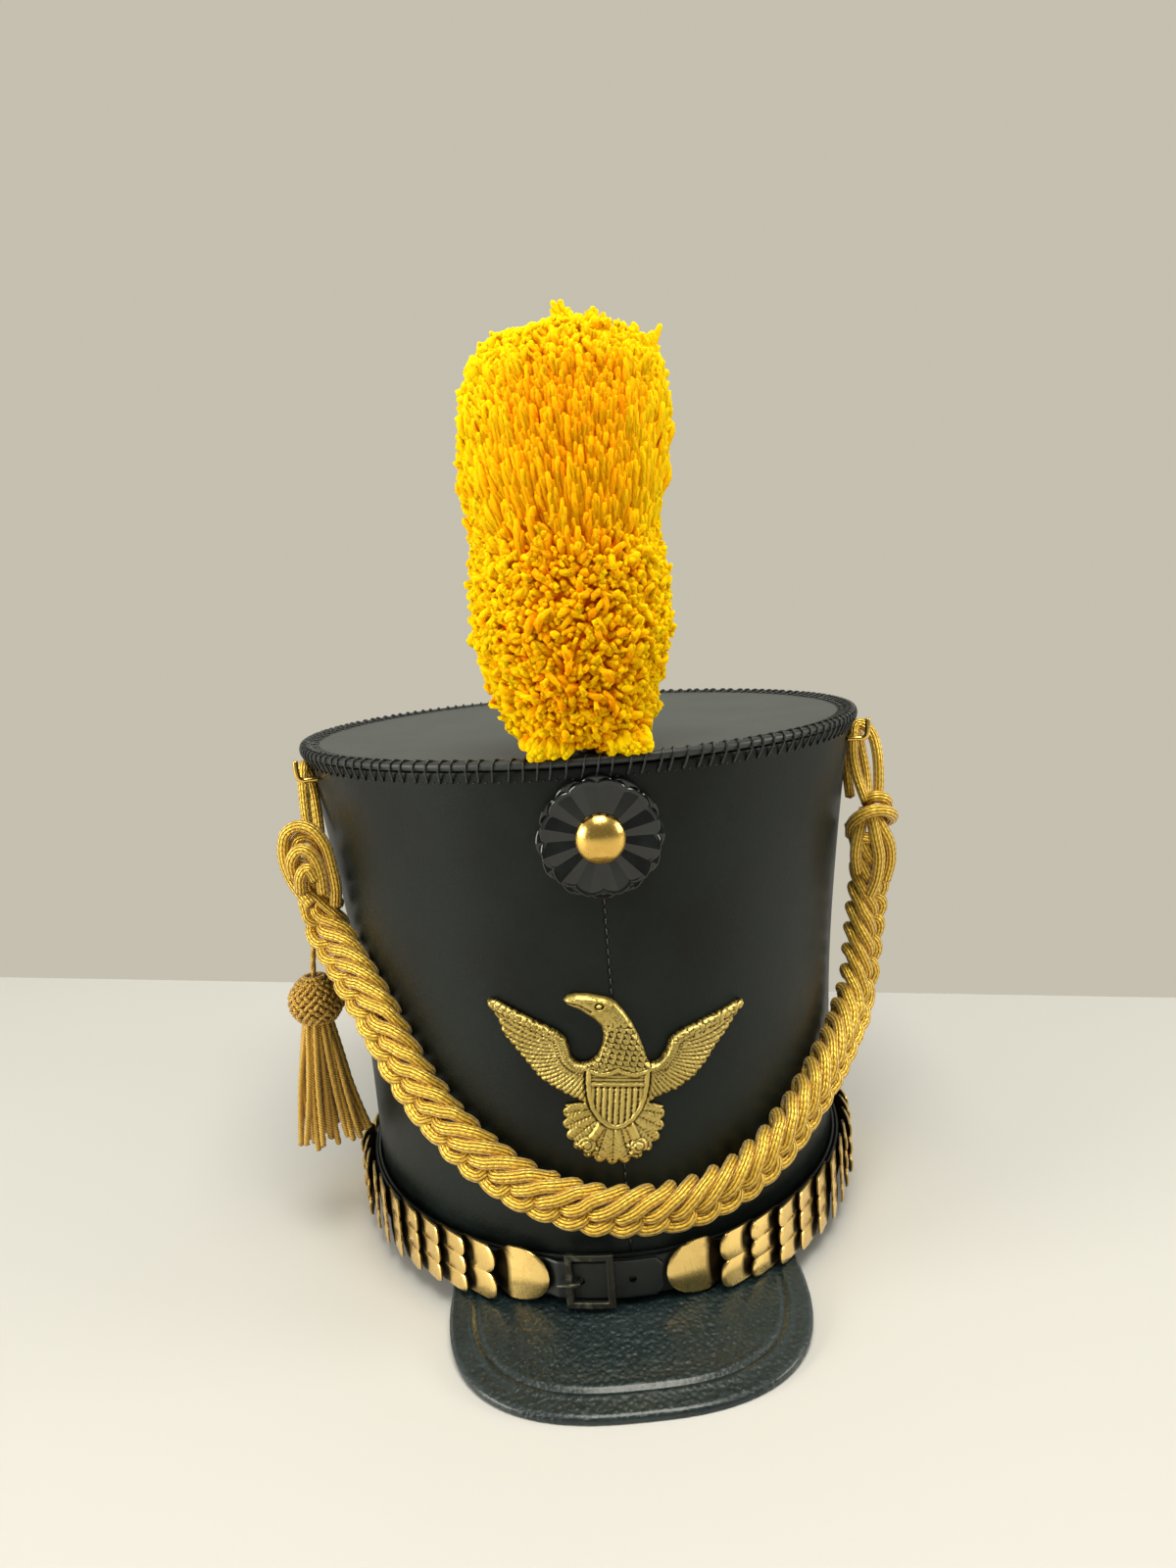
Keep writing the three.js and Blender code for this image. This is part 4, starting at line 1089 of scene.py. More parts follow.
def buckle():
    """A mitred rectangular frame of square bar with broken corners, and its prong."""
    bar, thick, soft = BUCKLE["bar"], BUCKLE["thick"], 0.28
    ring = np.array([
        (0, thick - soft), (0, soft), (soft, 0), (bar - soft, 0),
        (bar, soft), (bar, thick - soft), (bar - soft, thick), (soft, thick),
    ])
    corners = np.array([(1, -1), (1, 1), (-1, 1), (-1, -1)])
    steps = 8
    part = np.arange(steps)[:, None] / steps
    turns = np.concatenate([corners[k] * (1 - part) + corners[(k + 1) % 4] * part for k in range(4)])
    half = np.array([BUCKLE["width"] / 2, BUCKLE["height"] / 2]) - ring[:, :1]
    place = turns[:, None] * half
    grid = on_wall(BUCKLE["middle"] + place[..., 0], BUCKLE["z"] + place[..., 1], BUCKLE["out"] + ring[:, 1])
    iron = black_iron()
    piece("buckle_ring", loop_skin(grid), iron, ["buckle_frame"], crease=35)
    front = BUCKLE["out"] + BUCKLE["thick"] + GAP + PRONG["r"]
    bar_run = BUCKLE["middle"] - BUCKLE["width"] / 2 + BUCKLE["bar"]
    hole = TONGUE["prong"]
    runs = np.array([hole + 0.2, hole - 0.2, bar_run + 1.4, bar_run - 0.6, PRONG["tip"]])
    heights = PRONG["z"] - np.array([0, 0, 0, 0.1, 0.6])
    outs = np.array([3.7, 5.4, front - 0.5, front, front - 0.35])
    route = smooth(on_wall(runs, heights, outs), 0.35)
    size = PRONG["r"] * np.interp(np.linspace(0, 1, len(route)), [0, 0.8, 1], [1, 0.95, 0.62])
    piece("buckle_tongue_pin", tubes(route, size[None], 14), iron, ["buckle_prong"])


# ------------------------------------------------------------------ chin scales and bosses
# the last number is the length of painted shade at the end of each scale, under the next one's free edge
SCALE = {"length": 17, "brass": 0.8, "free": 6.7, "tip_free": 4.0, "z": 7, "gap": 15.7, "fixed_out": 3.3,
         "taper": 4, "fixed": 0.72, "spoon": 1.15, "lobe": 0.82, "painted_shade": 3.6}
SCALE_HEIGHTS = [17.2, 18, 18.6, 19.2, 20.4]
SCALE_SIDES = [("right", 1, 10.6, 10.55, 12), ("left", -1, 23, 10.4, 11)]
BOSS_RUN = 158
BOSS_PROFILE = [        # radius, height
    (0.3, 0), (7.0, 0), (7.5, 0.3), (7.5, 0.8), (7.0, 1.2), (6.4, 1.0), (6.0, 1.1), (5.6, 1.9), (4.6, 2.7),
    (3.2, 3.2), (1.6, 3.4), (0.2, 3.45),
]


def scale(side, free, height, lobes, proud, unshaded):
    """One brass scale, which lifts off the strap. Its free edge is an ellipse or a row of round lobes.

    Each lobe bulges by one minus the square of the distance from its middle. The tip has a level crease.
    Past its unshaded length the tint paints the shade that the next scale casts on it, and the whole
    underside is painted dark as shade.
    """
    half = height / 2
    across = np.clip(np.sin(np.linspace(-0.5, 0.5, 13) * np.pi), -0.996, 0.996)
    middles = half / lobes * (np.arange(lobes) * 2 + 1) - half
    v = np.concatenate([middle + across * half / lobes for middle in middles])[:, None]
    within = np.tile(across, lobes)[:, None]
    reach = half * SCALE["spoon"] if lobes == 1 else half / lobes * SCALE["lobe"]
    start = reach * (1 - np.sqrt(1 - within ** 2))
    part = np.linspace(0, 1, 13)[None, :] ** 1.3
    u = start + (SCALE["length"] - start) * part
    narrow = 1 - (1 - SCALE["fixed"]) * np.clip((u - SCALE["length"] + SCALE["taper"]) / SCALE["taper"], 0, 1)
    back = proud + (SCALE["fixed_out"] - proud) * u / SCALE["length"]
    fade = np.clip(1 - u / SCALE["length"], 0, 1)
    crease = -0.3 * half
    ridge = np.where(v > crease, (half - v) / (half - crease), (v + half) / (crease + half))
    bulge = 0.5 * (1 - within ** 2) * fade if lobes > 1 else 1.2 * ridge * fade ** 0.5
    lip = 0.25 * np.clip(1 - (u - start) / 0.8, 0, 1) ** 2
    run, z = side * (free + u), SCALE["z"] + v * narrow
    lower = on_wall(run, z, back + bulge - lip * 0.4)
    upper = on_wall(run, z, back + bulge + SCALE["brass"] - lip)
    # painted shade: the tint rises past the unshaded length, where the next scale's free edge hangs over
    painted_shade = np.clip((u - start * (lobes > 1) - unshaded) / 1.3, 0, 1)[::-side]
    points, faces, places, _ = sheet(upper[::-side], lower[::-side])
    # the underside gets a dark tint throughout, as painted shade
    return points, faces, places, np.concatenate([painted_shade.ravel(), np.full(painted_shade.size, 0.85)])


def chin_scales():
    """Scales from the buckle to each side, every one over the end of the last, and a boss that ends them."""
    brass = scale_brass()
    for name, side, tip, pitch, count in SCALE_SIDES:
        for k in range(count):
            first, last = k == 0, k == count - 1
            free = tip if first else tip + SCALE["gap"] + pitch * (k - 1)
            height = SCALE_HEIGHTS[min(k, len(SCALE_HEIGHTS) - 1)]
            proud = SCALE["tip_free"] if first else SCALE["free"] + random.uniform(-0.5, 0.25)
            # how far along each scale stays bright before the painted shade under the next scale begins
            unshaded = SCALE["length"] if last else (SCALE["gap"] if first else pitch) - SCALE["painted_shade"]
            form = scale(side, free, height, min(k + 1, 3), proud, unshaded)
            number = f"{name}_{k + 1:02d}"
            piece(f"brass_scale_{number}", form, brass, [f"scale_{number}"], crease=30)
        seat = on_wall(side * BOSS_RUN, SCALE["z"], SCALE["fixed_out"])
        axis = on_wall(side * BOSS_RUN, SCALE["z"], SCALE["fixed_out"] + 1) - seat
        piece(f"boss_{name}", turned(BOSS_PROFILE, 48, seat, axis), CAST, [f"side_boss_{name}"])


# ------------------------------------------------------------------ rosette and button
ROSETTE = {"z": 144, "r": 18.2, "back": 0.9, "pleats": 12, "pleat": 1.0}
BUTTON_PROFILE = [      # radius, height
    (0.3, 1.2), (6.4, 1.2), (6.9, 2.0), (7.2, 2.6), (7.15, 3.0), (6.8, 3.5), (6.1, 4.2), (5.0, 5.0),
    (3.7, 5.65), (2.3, 6.05), (1.0, 6.25), (0.15, 6.3),
]
# rings of one layer, from the middle out along its back and in along its front: share of the radius, height
ROSETTE_RINGS = np.array([
    (0.05, 0), (0.5, 0), (0.97, 0), (1.0, 0.1), (1.0, 0.75), (0.985, 0.92), (0.955, 0.86), (0.93, 0.7),
    (0.8, 0.7), (0.6, 0.7), (0.42, 0.7), (0.3, 0.7), (0.1, 0.7),
])


def rosette():
    """Two round layers of pleated patent leather with scalloped rims, and a domed button.

    Over the turn the height rises and falls in straight lines, once for each pleat, more towards the rim.
    The rim's radius grows with the sine of the turn within a scallop to the power 0.6.
    """
    low, high = on_wall(0, ROSETTE["z"] - ROSETTE["r"], 0), on_wall(0, ROSETTE["z"] + ROSETTE["r"], 0)
    up = unit(high - low)
    right = np.array([1.0, 0, 0])
    axis = np.cross(right, up)
    seat = on_wall(0, ROSETTE["z"], ROSETTE["back"])
    pleats = ROSETTE["pleats"]
    angle = np.linspace(0, 2 * np.pi, pleats * 14, endpoint=False)
    part, level = ROSETTE_RINGS.T[..., None]
    in_front = (np.arange(len(ROSETTE_RINGS)) > 3)[:, None]
    ring = np.cos(angle)[:, None] * right + np.sin(angle)[:, None] * up
    layers = []
    for shift, radius, base in ((0.5, ROSETTE["r"], 0.0), (0.0, ROSETTE["r"] - 0.9, 0.9)):
        turn = angle / (2 * np.pi) * pleats + shift
        fold = np.abs(2 * (turn % 1) - 1)
        rim = radius - 1.3 * (1 - np.sin(np.pi * (turn % 1)) ** 0.6)
        height = base + level + in_front * ROSETTE["pleat"] * (1 - fold) * part
        layers.append(capped(seat + (rim * part)[..., None] * ring + height[..., None] * axis))
    form = joined(*layers)
    piece("rosette_leather", form, patent_leather(), ["front_rosette"], crease=14)
    piece("dome_button", turned(BUTTON_PROFILE, 64, seat, axis), BRIGHT, ["front_button"])


# ------------------------------------------------------------------ eagle badge
# drawn upright about the middle of its shield; bend() turns it and lays it on the wall
EAGLE = {"z": 64.5, "turn": math.radians(-6), "cell": 0.24, "out": 0.3}
EAGLE_TOP = [
    (-38.3, 29.3), (-36.6, 29.4), (-26.8, 24.2), (-18.2, 20.0), (-15.6, 17.8), (-14.5, 15.1), (-13.7, 11.9),
    (-12.4, 10.5), (-10.6, 10.0), (-9.0, 10.4), (-7.6, 11.2), (-6.0, 12.8), (-4.9, 15.6), (-4.6, 19),
    (-5.4, 21.8), (-7.6, 24), (-11.8, 26.8), (-15.4, 28.4), (-16.6, 29.8), (-15.6, 31.1), (-13.4, 31.7),
    (-10, 31.7), (-7.2, 31.2), (-4.4, 30.7), (-1.7, 29.3), (1, 26.3), (3.6, 22.6), (5.8, 18.4), (7.4, 14.6),
    (8.6, 11.2), (9.8, 10.1), (12.2, 11.2), (14, 14), (15.1, 17.9), (18, 20.1), (26, 24), (32.9, 27.4),
    (37.7, 30.2),
]
RIGHT_WING_EDGE = [
    (38.4, 28.3), (35.6, 24.0), (33.0, 19.6), (29.7, 15.1), (27.1, 10.6), (23.3, 5.6), (18, 1.7),
    (12.2, -0.6), (9.6, -2.4),
]
LEFT_WING_EDGE = [
    (-9.4, -2.6), (-14, -0.6), (-18.2, 1.7), (-22.5, 4.5), (-25.7, 8.4), (-29.7, 13.4), (-33.7, 18.4),
    (-35.8, 24), (-38.2, 27.2),
]
TAIL = {"x": -0.4, "z": -7.6, "wide": 15.2, "high": 14.8, "feathers": 13, "from": 15, "to": -195}
SHIELD = [
    (-9.1, 8.9), (-4.8, 7.7), (-2.2, 8.2), (0, 9.4), (2.2, 8.2), (4.8, 7.7), (9.1, 8.9), (9.1, 4.4),
    (8.6, 0), (7.4, -4), (5.2, -7.4), (2.6, -9.5), (0, -10.4), (-2.6, -9.5), (-5.2, -7.4), (-7.4, -4),
    (-8.6, 0), (-9.1, 4.4),
]


def toothed(points, teeth, depth):
    """A line cut into teeth: it moves to its right by the depth where the sine along it is nothing."""
    curve = evenly(np.array(points, float), 0.4)
    along = unit(np.gradient(curve, axis=0))
    notch = 1 - np.abs(np.sin(np.pi * np.linspace(0, teeth, len(curve)))) ** 0.6
    notch[[0, -1]] = 0
    return curve + depth * notch[:, None] * np.stack([along[:, 1], -along[:, 0]], -1)


def distance(x, z, line):
    """Distance in the flat from a broken line."""
    away = np.full(x.shape, np.inf)
    for (ax, az), (bx, bz) in zip(line[:-1], line[1:]):
        dx, dz = bx - ax, bz - az
        part = np.clip(((x - ax) * dx + (z - az) * dz) / max(dx * dx + dz * dz, 1e-12), 0, 1)
        away = np.minimum(away, np.hypot(x - ax - part * dx, z - az - part * dz))
    return away


def inside(x, z, border):
    """Signed distance from a closed border in the flat: positive inside it."""
    line = [*border, border[0]]
    crossings = np.zeros(x.shape, int)
    for (ax, az), (bx, bz) in zip(line[:-1], line[1:]):
        if az != bz:
            crossings += ((az > z) != (bz > z)) & (x < ax + (z - az) * (bx - ax) / (bz - az))
    away = distance(x, z, line)
    return np.where(crossings % 2 == 1, away, -away)


def line_relief(x, z, line, radius):
    """Height of a rounded ridge along a line: a half circle across it, of radius 1 in its middle."""
    return np.sqrt(np.clip(1 - (distance(x, z, line) / radius) ** 2, 0, 1))


def hanging_scales(u, v, width, height):
    """Round scales in rows, each over the row below: they rise with the distance from where they start."""
    row = np.ceil(v / height)
    across = (u / width + 0.5 * (row % 2)) % 1 - 0.5
    reach = np.hypot(2 * across, row - v / height)
    return np.where(reach < 0.92, 0.35 + 0.65 * reach ** 1.5, 0)


def quills(turn, length):
    """Feathers side by side: a sine across each, with a quill in its middle and slanting barbs."""
    part = turn % 1
    barbs = np.sin(2 * np.pi * (length * 0.85 + np.abs(part - 0.5) * 1.6))
    return np.sin(np.pi * part) ** 0.55 + 0.16 * np.exp(-((part - 0.5) / 0.07) ** 2) + 0.12 * barbs


def wing_relief(x, z, side, top_edge):
    """A wing: a smooth roll along its top edge, short feathers under it, and long ones that fan out."""
    cx, cz = side * 6.5, 17.5
    length = np.hypot(x - cx, z - cz)
    angle = np.degrees(np.arctan2(cz - z, side * (x - cx)))
    fan = (angle + 1.1 * length) / 4.6
    long_feathers = 0.50 * quills(fan, length)
    short = 0.5 * hanging_scales(fan * 1.5, -length * 0.8, 1.5, 1.4) + 0.3
    near = top_edge + 0.5 * np.sin(2.1 * fan)
    mix = np.clip((4.6 - near) / 0.8, 0, 1)
    relief = long_feathers * (1 - mix) + short * mix
    roll = 0.95 * np.sqrt(np.clip(1 - ((top_edge - 1.3) / 1.5) ** 2, 0, 1))
    swell = 0.55 * np.exp(-((np.abs(x) - 15) / 10) ** 2)
    return 0.55 + relief + roll + swell


def tail_relief(x, z):
    """The tail's feathers, which fan out from a point over it."""
    x, z = x - TAIL["x"], z - TAIL["z"] - 4.5
    angle = np.degrees(np.arctan2(z, x))
    angle = np.where(angle > 90, angle - 360, angle)
    length = np.hypot(x, z)
    fan = (angle - 4) / (TAIL["to"] + 4 - TAIL["from"] + 3) * TAIL["feathers"]
    return 0.55 + 0.5 * quills(fan, length) + 0.025 * (14 - length).clip(0, 14)


def with_leg(height, x, z, side):
    """The height with a leg, four claws and the ball that they hold laid over it."""
    foot_x, foot_z = side * 7.6 - 0.4, -16.0
    leg = line_relief(x, z, [(side * 3.4, -8.0), (side * 5.4, -12.0), (foot_x, foot_z)], 1.45)
    height = np.where(leg > 0, np.maximum(height, 0.9 + 1.2 * leg), height)
    claws = np.maximum.reduce([line_relief(x, z, [
        (foot_x + 1.6 * math.sin(turn), foot_z + 1.6 * math.cos(turn)),
        (foot_x + 3.2 * math.sin(turn + 0.3), foot_z + 3.2 * math.cos(turn + 0.3)),
    ], 0.55) for turn in np.radians([95, 150, 205, 255])])
    height = np.where(claws > 0, np.maximum(height, 1.1 + 0.9 * claws), height)
    away = np.hypot(x - foot_x, z - foot_z)
    ball = np.sqrt(np.clip(1 - (away / 2.6) ** 2, 0, 1))
    swirl = np.exp(-((away - 1.45 - 0.12 * np.arctan2(z - foot_z, x - foot_x)) / 0.3) ** 2)
    return np.where(ball > 0, 1.2 + 1.3 * ball - 0.5 * swirl, height)


def breast_relief(x, z, edge):
    """The breast and head, which swell up from the border: scales below, fine hairs above, and a face."""
    scaled = hanging_scales(x * 0.98 + 0.35 * z, z * 1.02 + 0.12 * x, 1.95, 1.7)
    ragged = 0.8 * np.sin(x * 5.1 + z) + 0.8 * np.sin(x * 2.3 - 2 * z)
    smooth_head = np.clip((z - 21.5 - 0.25 * x + ragged) / 2.2, 0, 1)
    hairs = 0.16 * np.sin(7.5 * (x + 0.75 * z)) * np.clip((x + 4) / 5, 0, 1)
    hairs = hairs + 0.05 * np.sin(9 * (z - 0.3 * x))
    body = 1.35 + 1.15 * np.sqrt(np.clip(1 - (np.clip(7.5 - edge, 0, 7.5) / 7.5) ** 2, 0, 1))
    cover = 0.62 * scaled * (1 - smooth_head) + (0.45 + hairs) * smooth_head
    mouth = line_relief(x, z, [(-15.6, 29.2), (-12, 28.6), (-8.6, 26.6)], 0.42)
    brow = line_relief(x, z, [(-13, 30.4), (-8.6, 30.2), (-5.6, 29.4), (-3.6, 28.4)], 0.6)
    eye = np.hypot((x + 6.3) / 1.25, z - 28.3)
    eye = 0.25 * np.exp(-(eye / 0.5) ** 2) - 0.55 * np.exp(-((eye - 0.85) / 0.28) ** 2)
    return body + cover - 0.4 * mouth + 0.3 * brow + eye


def shield_relief(x, z, border):
    """The shield, by the distance inside its border: a rim round a domed field of bars and stripes."""
    rim = 0.5 * np.sqrt(np.clip(1 - ((border - 0.65) / 0.75) ** 2, 0, 1))
    stripes = 0.26 * np.cos(2 * np.pi * (x + 0.1) / 1.75)
    bars = -0.3 * sum(np.exp(-((z - level) / 0.2) ** 2) for level in (6.9, 5.9, 4.9))
    bars = bars + 0.12 * np.exp(-((z - 5.4) / 0.3) ** 2)
    ledge = 0.45 * np.exp(-((z - 3.8) / 0.42) ** 2) - 0.35 * np.exp(-((z - 2.9) / 0.3) ** 2)
    field = np.where(z > 3.3, bars + ledge, stripes + ledge) * np.clip((border - 1.3) / 0.4, 0, 1)
    return 1.9 + 0.55 * np.sqrt(np.clip(1 - (x / 10) ** 2, 0, 1)) + rim + field


def eagle_relief(x, z, edge):
    """Height of the badge over its back: wings, tail, legs, breast, head and shield, each over the last."""
    height = np.zeros(x.shape)
    for side, first, last in ((-1, 0, 10), (1, 30, 38)):
        top_edge = distance(x, z, EAGLE_TOP[first:last])
        height = np.where(side * x > 6, wing_relief(x, z, side, top_edge), height)
    in_tail = z < np.interp(np.abs(x), [0, 9, 9.6, 16], [-4, -3.2, -2.5, -2.2])
    height = np.where(in_tail, tail_relief(x, z), height)
    for side in (-1, 1):
        height = with_leg(height, x, z, side)
    breast = [(-9.0, 9.6), *EAGLE_TOP[9:31], (9.4, 9.4), (4.8, 7.9), (0, 9.6), (-4.8, 7.9)]
    height = np.where(inside(x, z, breast) > -0.15, breast_relief(x, z, edge), height)
    shield = inside(x, z, SHIELD)
    height = np.where(shield > 0, shield_relief(x, z, shield), height)
    trench = np.exp(-((shield + 0.35) / 0.4) ** 2) * (shield <= 0) * (z < 8)
    return height - 0.5 * trench


def bend(points):
    """The badge's flat drawing as run along the band and height, spread at the wing tips and turned."""
    x, z = points[..., 0], points[..., 1]
    far = x / 38
    x, z = x + 1.6 * far ** 3, z - 3.0 * far ** 2
    cos, sin = math.cos(EAGLE["turn"]), math.sin(EAGLE["turn"])
    return x * cos - z * sin, EAGLE["z"] + x * sin + z * cos


def eagle():
    """The badge as a field of heights on a fine grid, cut to its outline and laid on the crown.

    Cells outside the outline are dropped, the points left at the border move onto it, and the tint of a point
    is how far it lies under the mean height round it.
    """
    turn = np.radians(np.linspace(TAIL["from"], TAIL["to"], TAIL["feathers"] * 9))
    tail_x, tail_z = TAIL["x"] + TAIL["wide"] * np.cos(turn), TAIL["z"] + TAIL["high"] * np.sin(turn)
    tail = np.stack([tail_x, tail_z], -1)
    border = np.concatenate([np.array(EAGLE_TOP, float), toothed(RIGHT_WING_EDGE, 17, 0.75),
                             toothed(tail, TAIL["feathers"], 2.0), toothed(LEFT_WING_EDGE, 17, 0.75)])
    cell = EAGLE["cell"]
    x, z = np.meshgrid(np.arange(-39.5, 39.5, cell), np.arange(-24, 33, cell))
    points = np.stack([x, z], -1)
    edge = inside(x, z, border)
    near = at_cells(edge) > 0
    slope = np.stack(np.gradient(edge, cell)[::-1], -1)
    cells = np.zeros(x.shape, int)
    for rows in (slice(0, -1), slice(1, None)):
        for columns in (slice(0, -1), slice(1, None)):
            cells[rows, columns] += near
    at_border = (cells > 0) & (cells < 4)
    moved = points - np.where(at_border, edge, 0)[..., None] * unit(slope)
    points = np.where(np.hypot(*np.moveaxis(moved - points, -1, 0))[..., None] < cell, moved, points)
    edge = np.where(at_border, 0, np.clip(edge, 0, None))
    height = eagle_relief(points[..., 0], points[..., 1], edge)
    grain = random.normal(0, 1, (x.shape[0] // 3 + 2, x.shape[1] // 3 + 2))
    grain = np.kron(grain, np.ones((3, 3)))[:x.shape[0], :x.shape[1]]
    height = height + 0.05 * grain
    wide = height.copy()
    for axis in (0, 1):
        wide = sum(np.roll(wide, step, axis) for step in range(-3, 4)) / 7
    sunk = np.clip((wide - height) * 2.6 + 0.12, 0, 1)
    height = 0.55 + (height - 0.35) * (1 - np.exp(-(edge + 0.12) / 0.45))
    faces, _, _ = weave(*x.shape)
    faces = faces[near.ravel()]
    run, level = bend(points)
    upper = on_wall(run, level, EAGLE["out"] + np.clip(height, 0.4, None)).reshape(-1, 3)
    lower = on_wall(run, level, EAGLE["out"]).reshape(-1, 3)
    used, faces = np.unique(faces, return_inverse=True)
    form = slab(upper[used], lower[used], faces.reshape(-1, 4), tints=sunk.ravel()[used])
    piece("eagle_badge", form, CAST, ["eagle_plate"])


# ------------------------------------------------------------------ plume
STEM = {"y": -102, "r": 3, "low": 166.8, "top": 190}
PLUME = np.array([      # height, middle, half width, half depth
    (167.9, -1.5, 17, 15), (174, -2.5, 22, 20), (186, -3.5, 25, 23), (200, -3.5, 29.5, 26),
    (214, -3, 29, 26), (230, -3.5, 27.5, 25), (246, -2.5, 30, 27), (262, -1.5, 30.5, 27),
    (276, -0.5, 28, 24), (285, -0.5, 21, 17), (288.5, -1, 11, 9),
])
TUFTS = {"low": 3100, "middle": 3600, "high": 4300}
# tints along a tuft from root to tip: the dark root is painted shade deep in the plume
TUFT_TINTS = np.array([0.10, 0.26, 0.46, 0.66, 0.80])       # from the root to the tip
TUFT_SWELL = np.array([0.8, 1.0, 1.15, 1.15, 0.7])
SETTLED = {"from": 240, "over": 45, "by": 2.6}              # how far the upper half has sunk
CLOSING = {"from": 286.5, "over": 3.5, "last": 288}         # where the top closes over
COMBED = {"turn": 0.12, "z": 252, "reach": 32, "up": 2.6, "longer": 9}
PLUME_PEAKS = [(-1.5, -106, 287.4), (8.5, -104, 286.0), (23.5, -104, 279.6)]
PLUME_SPANS = {"low": (168.2, 206), "middle": (206, 246), "high": (246, 290)}


def plume_skin(angle, z, share):
    """A point in the plume at a share of its half width and depth, between the heights of its table."""
    middle, wide, deep = (np.interp(z, PLUME[:, 0], PLUME[:, k]) for k in (1, 2, 3))
    z = z - SETTLED["by"] * np.clip((z - SETTLED["from"]) / SETTLED["over"], 0, 1) + 0 * angle
    return np.stack([middle + share * wide * np.sin(angle), STEM["y"] - share * deep * np.cos(angle), z], -1)


def tufts(count, low, high, first_turn):
    """Cut ends of yarn, each from inside the plume to its skin, bent to a side on the way.

    They stand in a spiral that turns by the golden angle and climbs with the plume's girth. A yarn's heading
    is the way out, plus a rise that grows with height and is strongest in front near the top, where the yarn
    is combed up. Its path is the quadratic curve from its root over a point off to the side to its tip.
    """
    levels = np.linspace(low, high, 60)
    girth = np.cumsum(np.interp(levels, PLUME[:, 0], PLUME[:, 2] + 8))
    order = (np.arange(count) + random.uniform(0, 1, count)) / count
    z = np.interp(order, (girth - girth[0]) / (girth[-1] - girth[0]), levels)
    angle = first_turn + np.arange(count) * GOLDEN_TURN + random.normal(0, 0.12, count)
    share = np.sqrt(1 - np.clip((z - CLOSING["from"]) / CLOSING["over"], 0, 1))
    lump = np.sin(2.1 * angle + z / 7.3) * np.sin(z / 4.6 + 1.3 * np.cos(angle))
    lump = lump + 0.6 * np.sin(5.3 * angle - z / 6.1)
    tip = plume_skin(angle, np.minimum(z, CLOSING["last"]), share)
    outward = unit((tip - (0, STEM["y"], 0)) * (1, 1, 0))
    tilt = np.interp(z, [168, 180, 274, 284, 289], [-0.6, 0, 0.1, 0.9, 4])
    normal = unit(outward + (0, 0, 1) * tilt[:, None])
    near = np.clip(1 - np.abs(z - COMBED["z"]) / COMBED["reach"], 0, 1) ** 0.7
    combed = np.clip(np.cos(angle - COMBED["turn"]), 0, 1) * near
    combed = np.clip(1.6 * combed, 0, 1)
    rise = np.interp(z, [168, 176, 190, 240, 262, 276, 284, 290], [-0.9, -0.3, 0.0, 0.15, 0.6, 1.1, 2.2, 6])
    heading = outward + (rise + COMBED["up"] * combed)[:, None] * (0, 0, 1)
    heading = unit(heading + random.normal(0, 0.36, (count, 3)) * (1 - 0.6 * combed[:, None]))
    heading = unit(heading + normal * np.clip(0.4 - 0.2 * combed[:, None] - dot(heading, normal), 0, None))
    tip = tip + normal * (0.8 * lump + random.normal(0, 0.6, count) * (1 - 0.5 * combed) - 2.1)[:, None]
    length = random.uniform(6.5, 8.5, count) + COMBED["longer"] * combed
    root = tip - heading * length[:, None]
    off = random.normal(0, 2.4, (count, 3)) * (1 - 0.75 * combed[:, None])
    middle = root * 0.35 + tip * 0.65 + off - np.cross(heading, off) * 0.25
    part = np.linspace(0, 1, len(TUFT_TINTS))[None, :, None]
    path = root[:, None] * (1 - part) ** 2 + tip[:, None] * part ** 2
    path = path + 2 * middle[:, None] * part * (1 - part)
    thick = random.uniform(0.8, 1.2, count)[:, None] * TUFT_SWELL * (1 - 0.2 * combed[:, None])
    return tubes(path, thick, 4, tuft_tints(angle, z, lump, combed))


def tuft_tints(angle, z, lump, combed):
    """Tints along each tuft: painted shade at the root that lightens to the tip, painted light on lumps and
    at the top, lighter at the sides, even where combed.
    """
    # painted light: lighter on the lumps that stand out and towards the top of the plume
    light = random.normal(0, 0.08, len(z)) + 0.1 * lump + 0.25 * np.clip((z - 272) / 12, 0, 1)
    # lighter towards the sides and a little darker in front
    side = 0.3 * np.clip(np.abs(np.sin(angle)) * 1.5 - 0.6, 0, 1) - 0.12 * np.clip(np.cos(angle), 0, 1)
    along = TUFT_TINTS * (1 - 0.75 * combed[:, None]) + 0.36 * combed[:, None]
    return np.clip((light + side)[:, None] + along, 0, 1)


def bunch(start, end, wobble):
    """Paths from start to end that bow to a side."""
    part = np.linspace(0, 1, 6)[None, :, None]
    path = start[:, None] * (1 - part) + end[:, None] * part
    return path + random.normal(0, wobble, (len(start), 1, 3)) * np.sin(np.pi * part)


def peak_tufts(x, y, z):
    """A bunch of yarn ends that stands up out of the plume's top."""
    count = 18
    foot = np.array([x * 0.75, y, z - 13]) + random.normal(0, 1.5, (count, 3))
    tip = np.array([x, y, z]) + random.normal(0, 1.0, (count, 3)) * (1.6, 1.6, 1.2)
    swell = np.tile([0.9, 1.0, 1.1, 1.15, 1.1, 0.7], (count, 1))
    # a light tint all along: painted light at the top of the plume
    return tubes(bunch(foot, tip, 1.0), swell, 6, np.full((count, 6), 0.85))


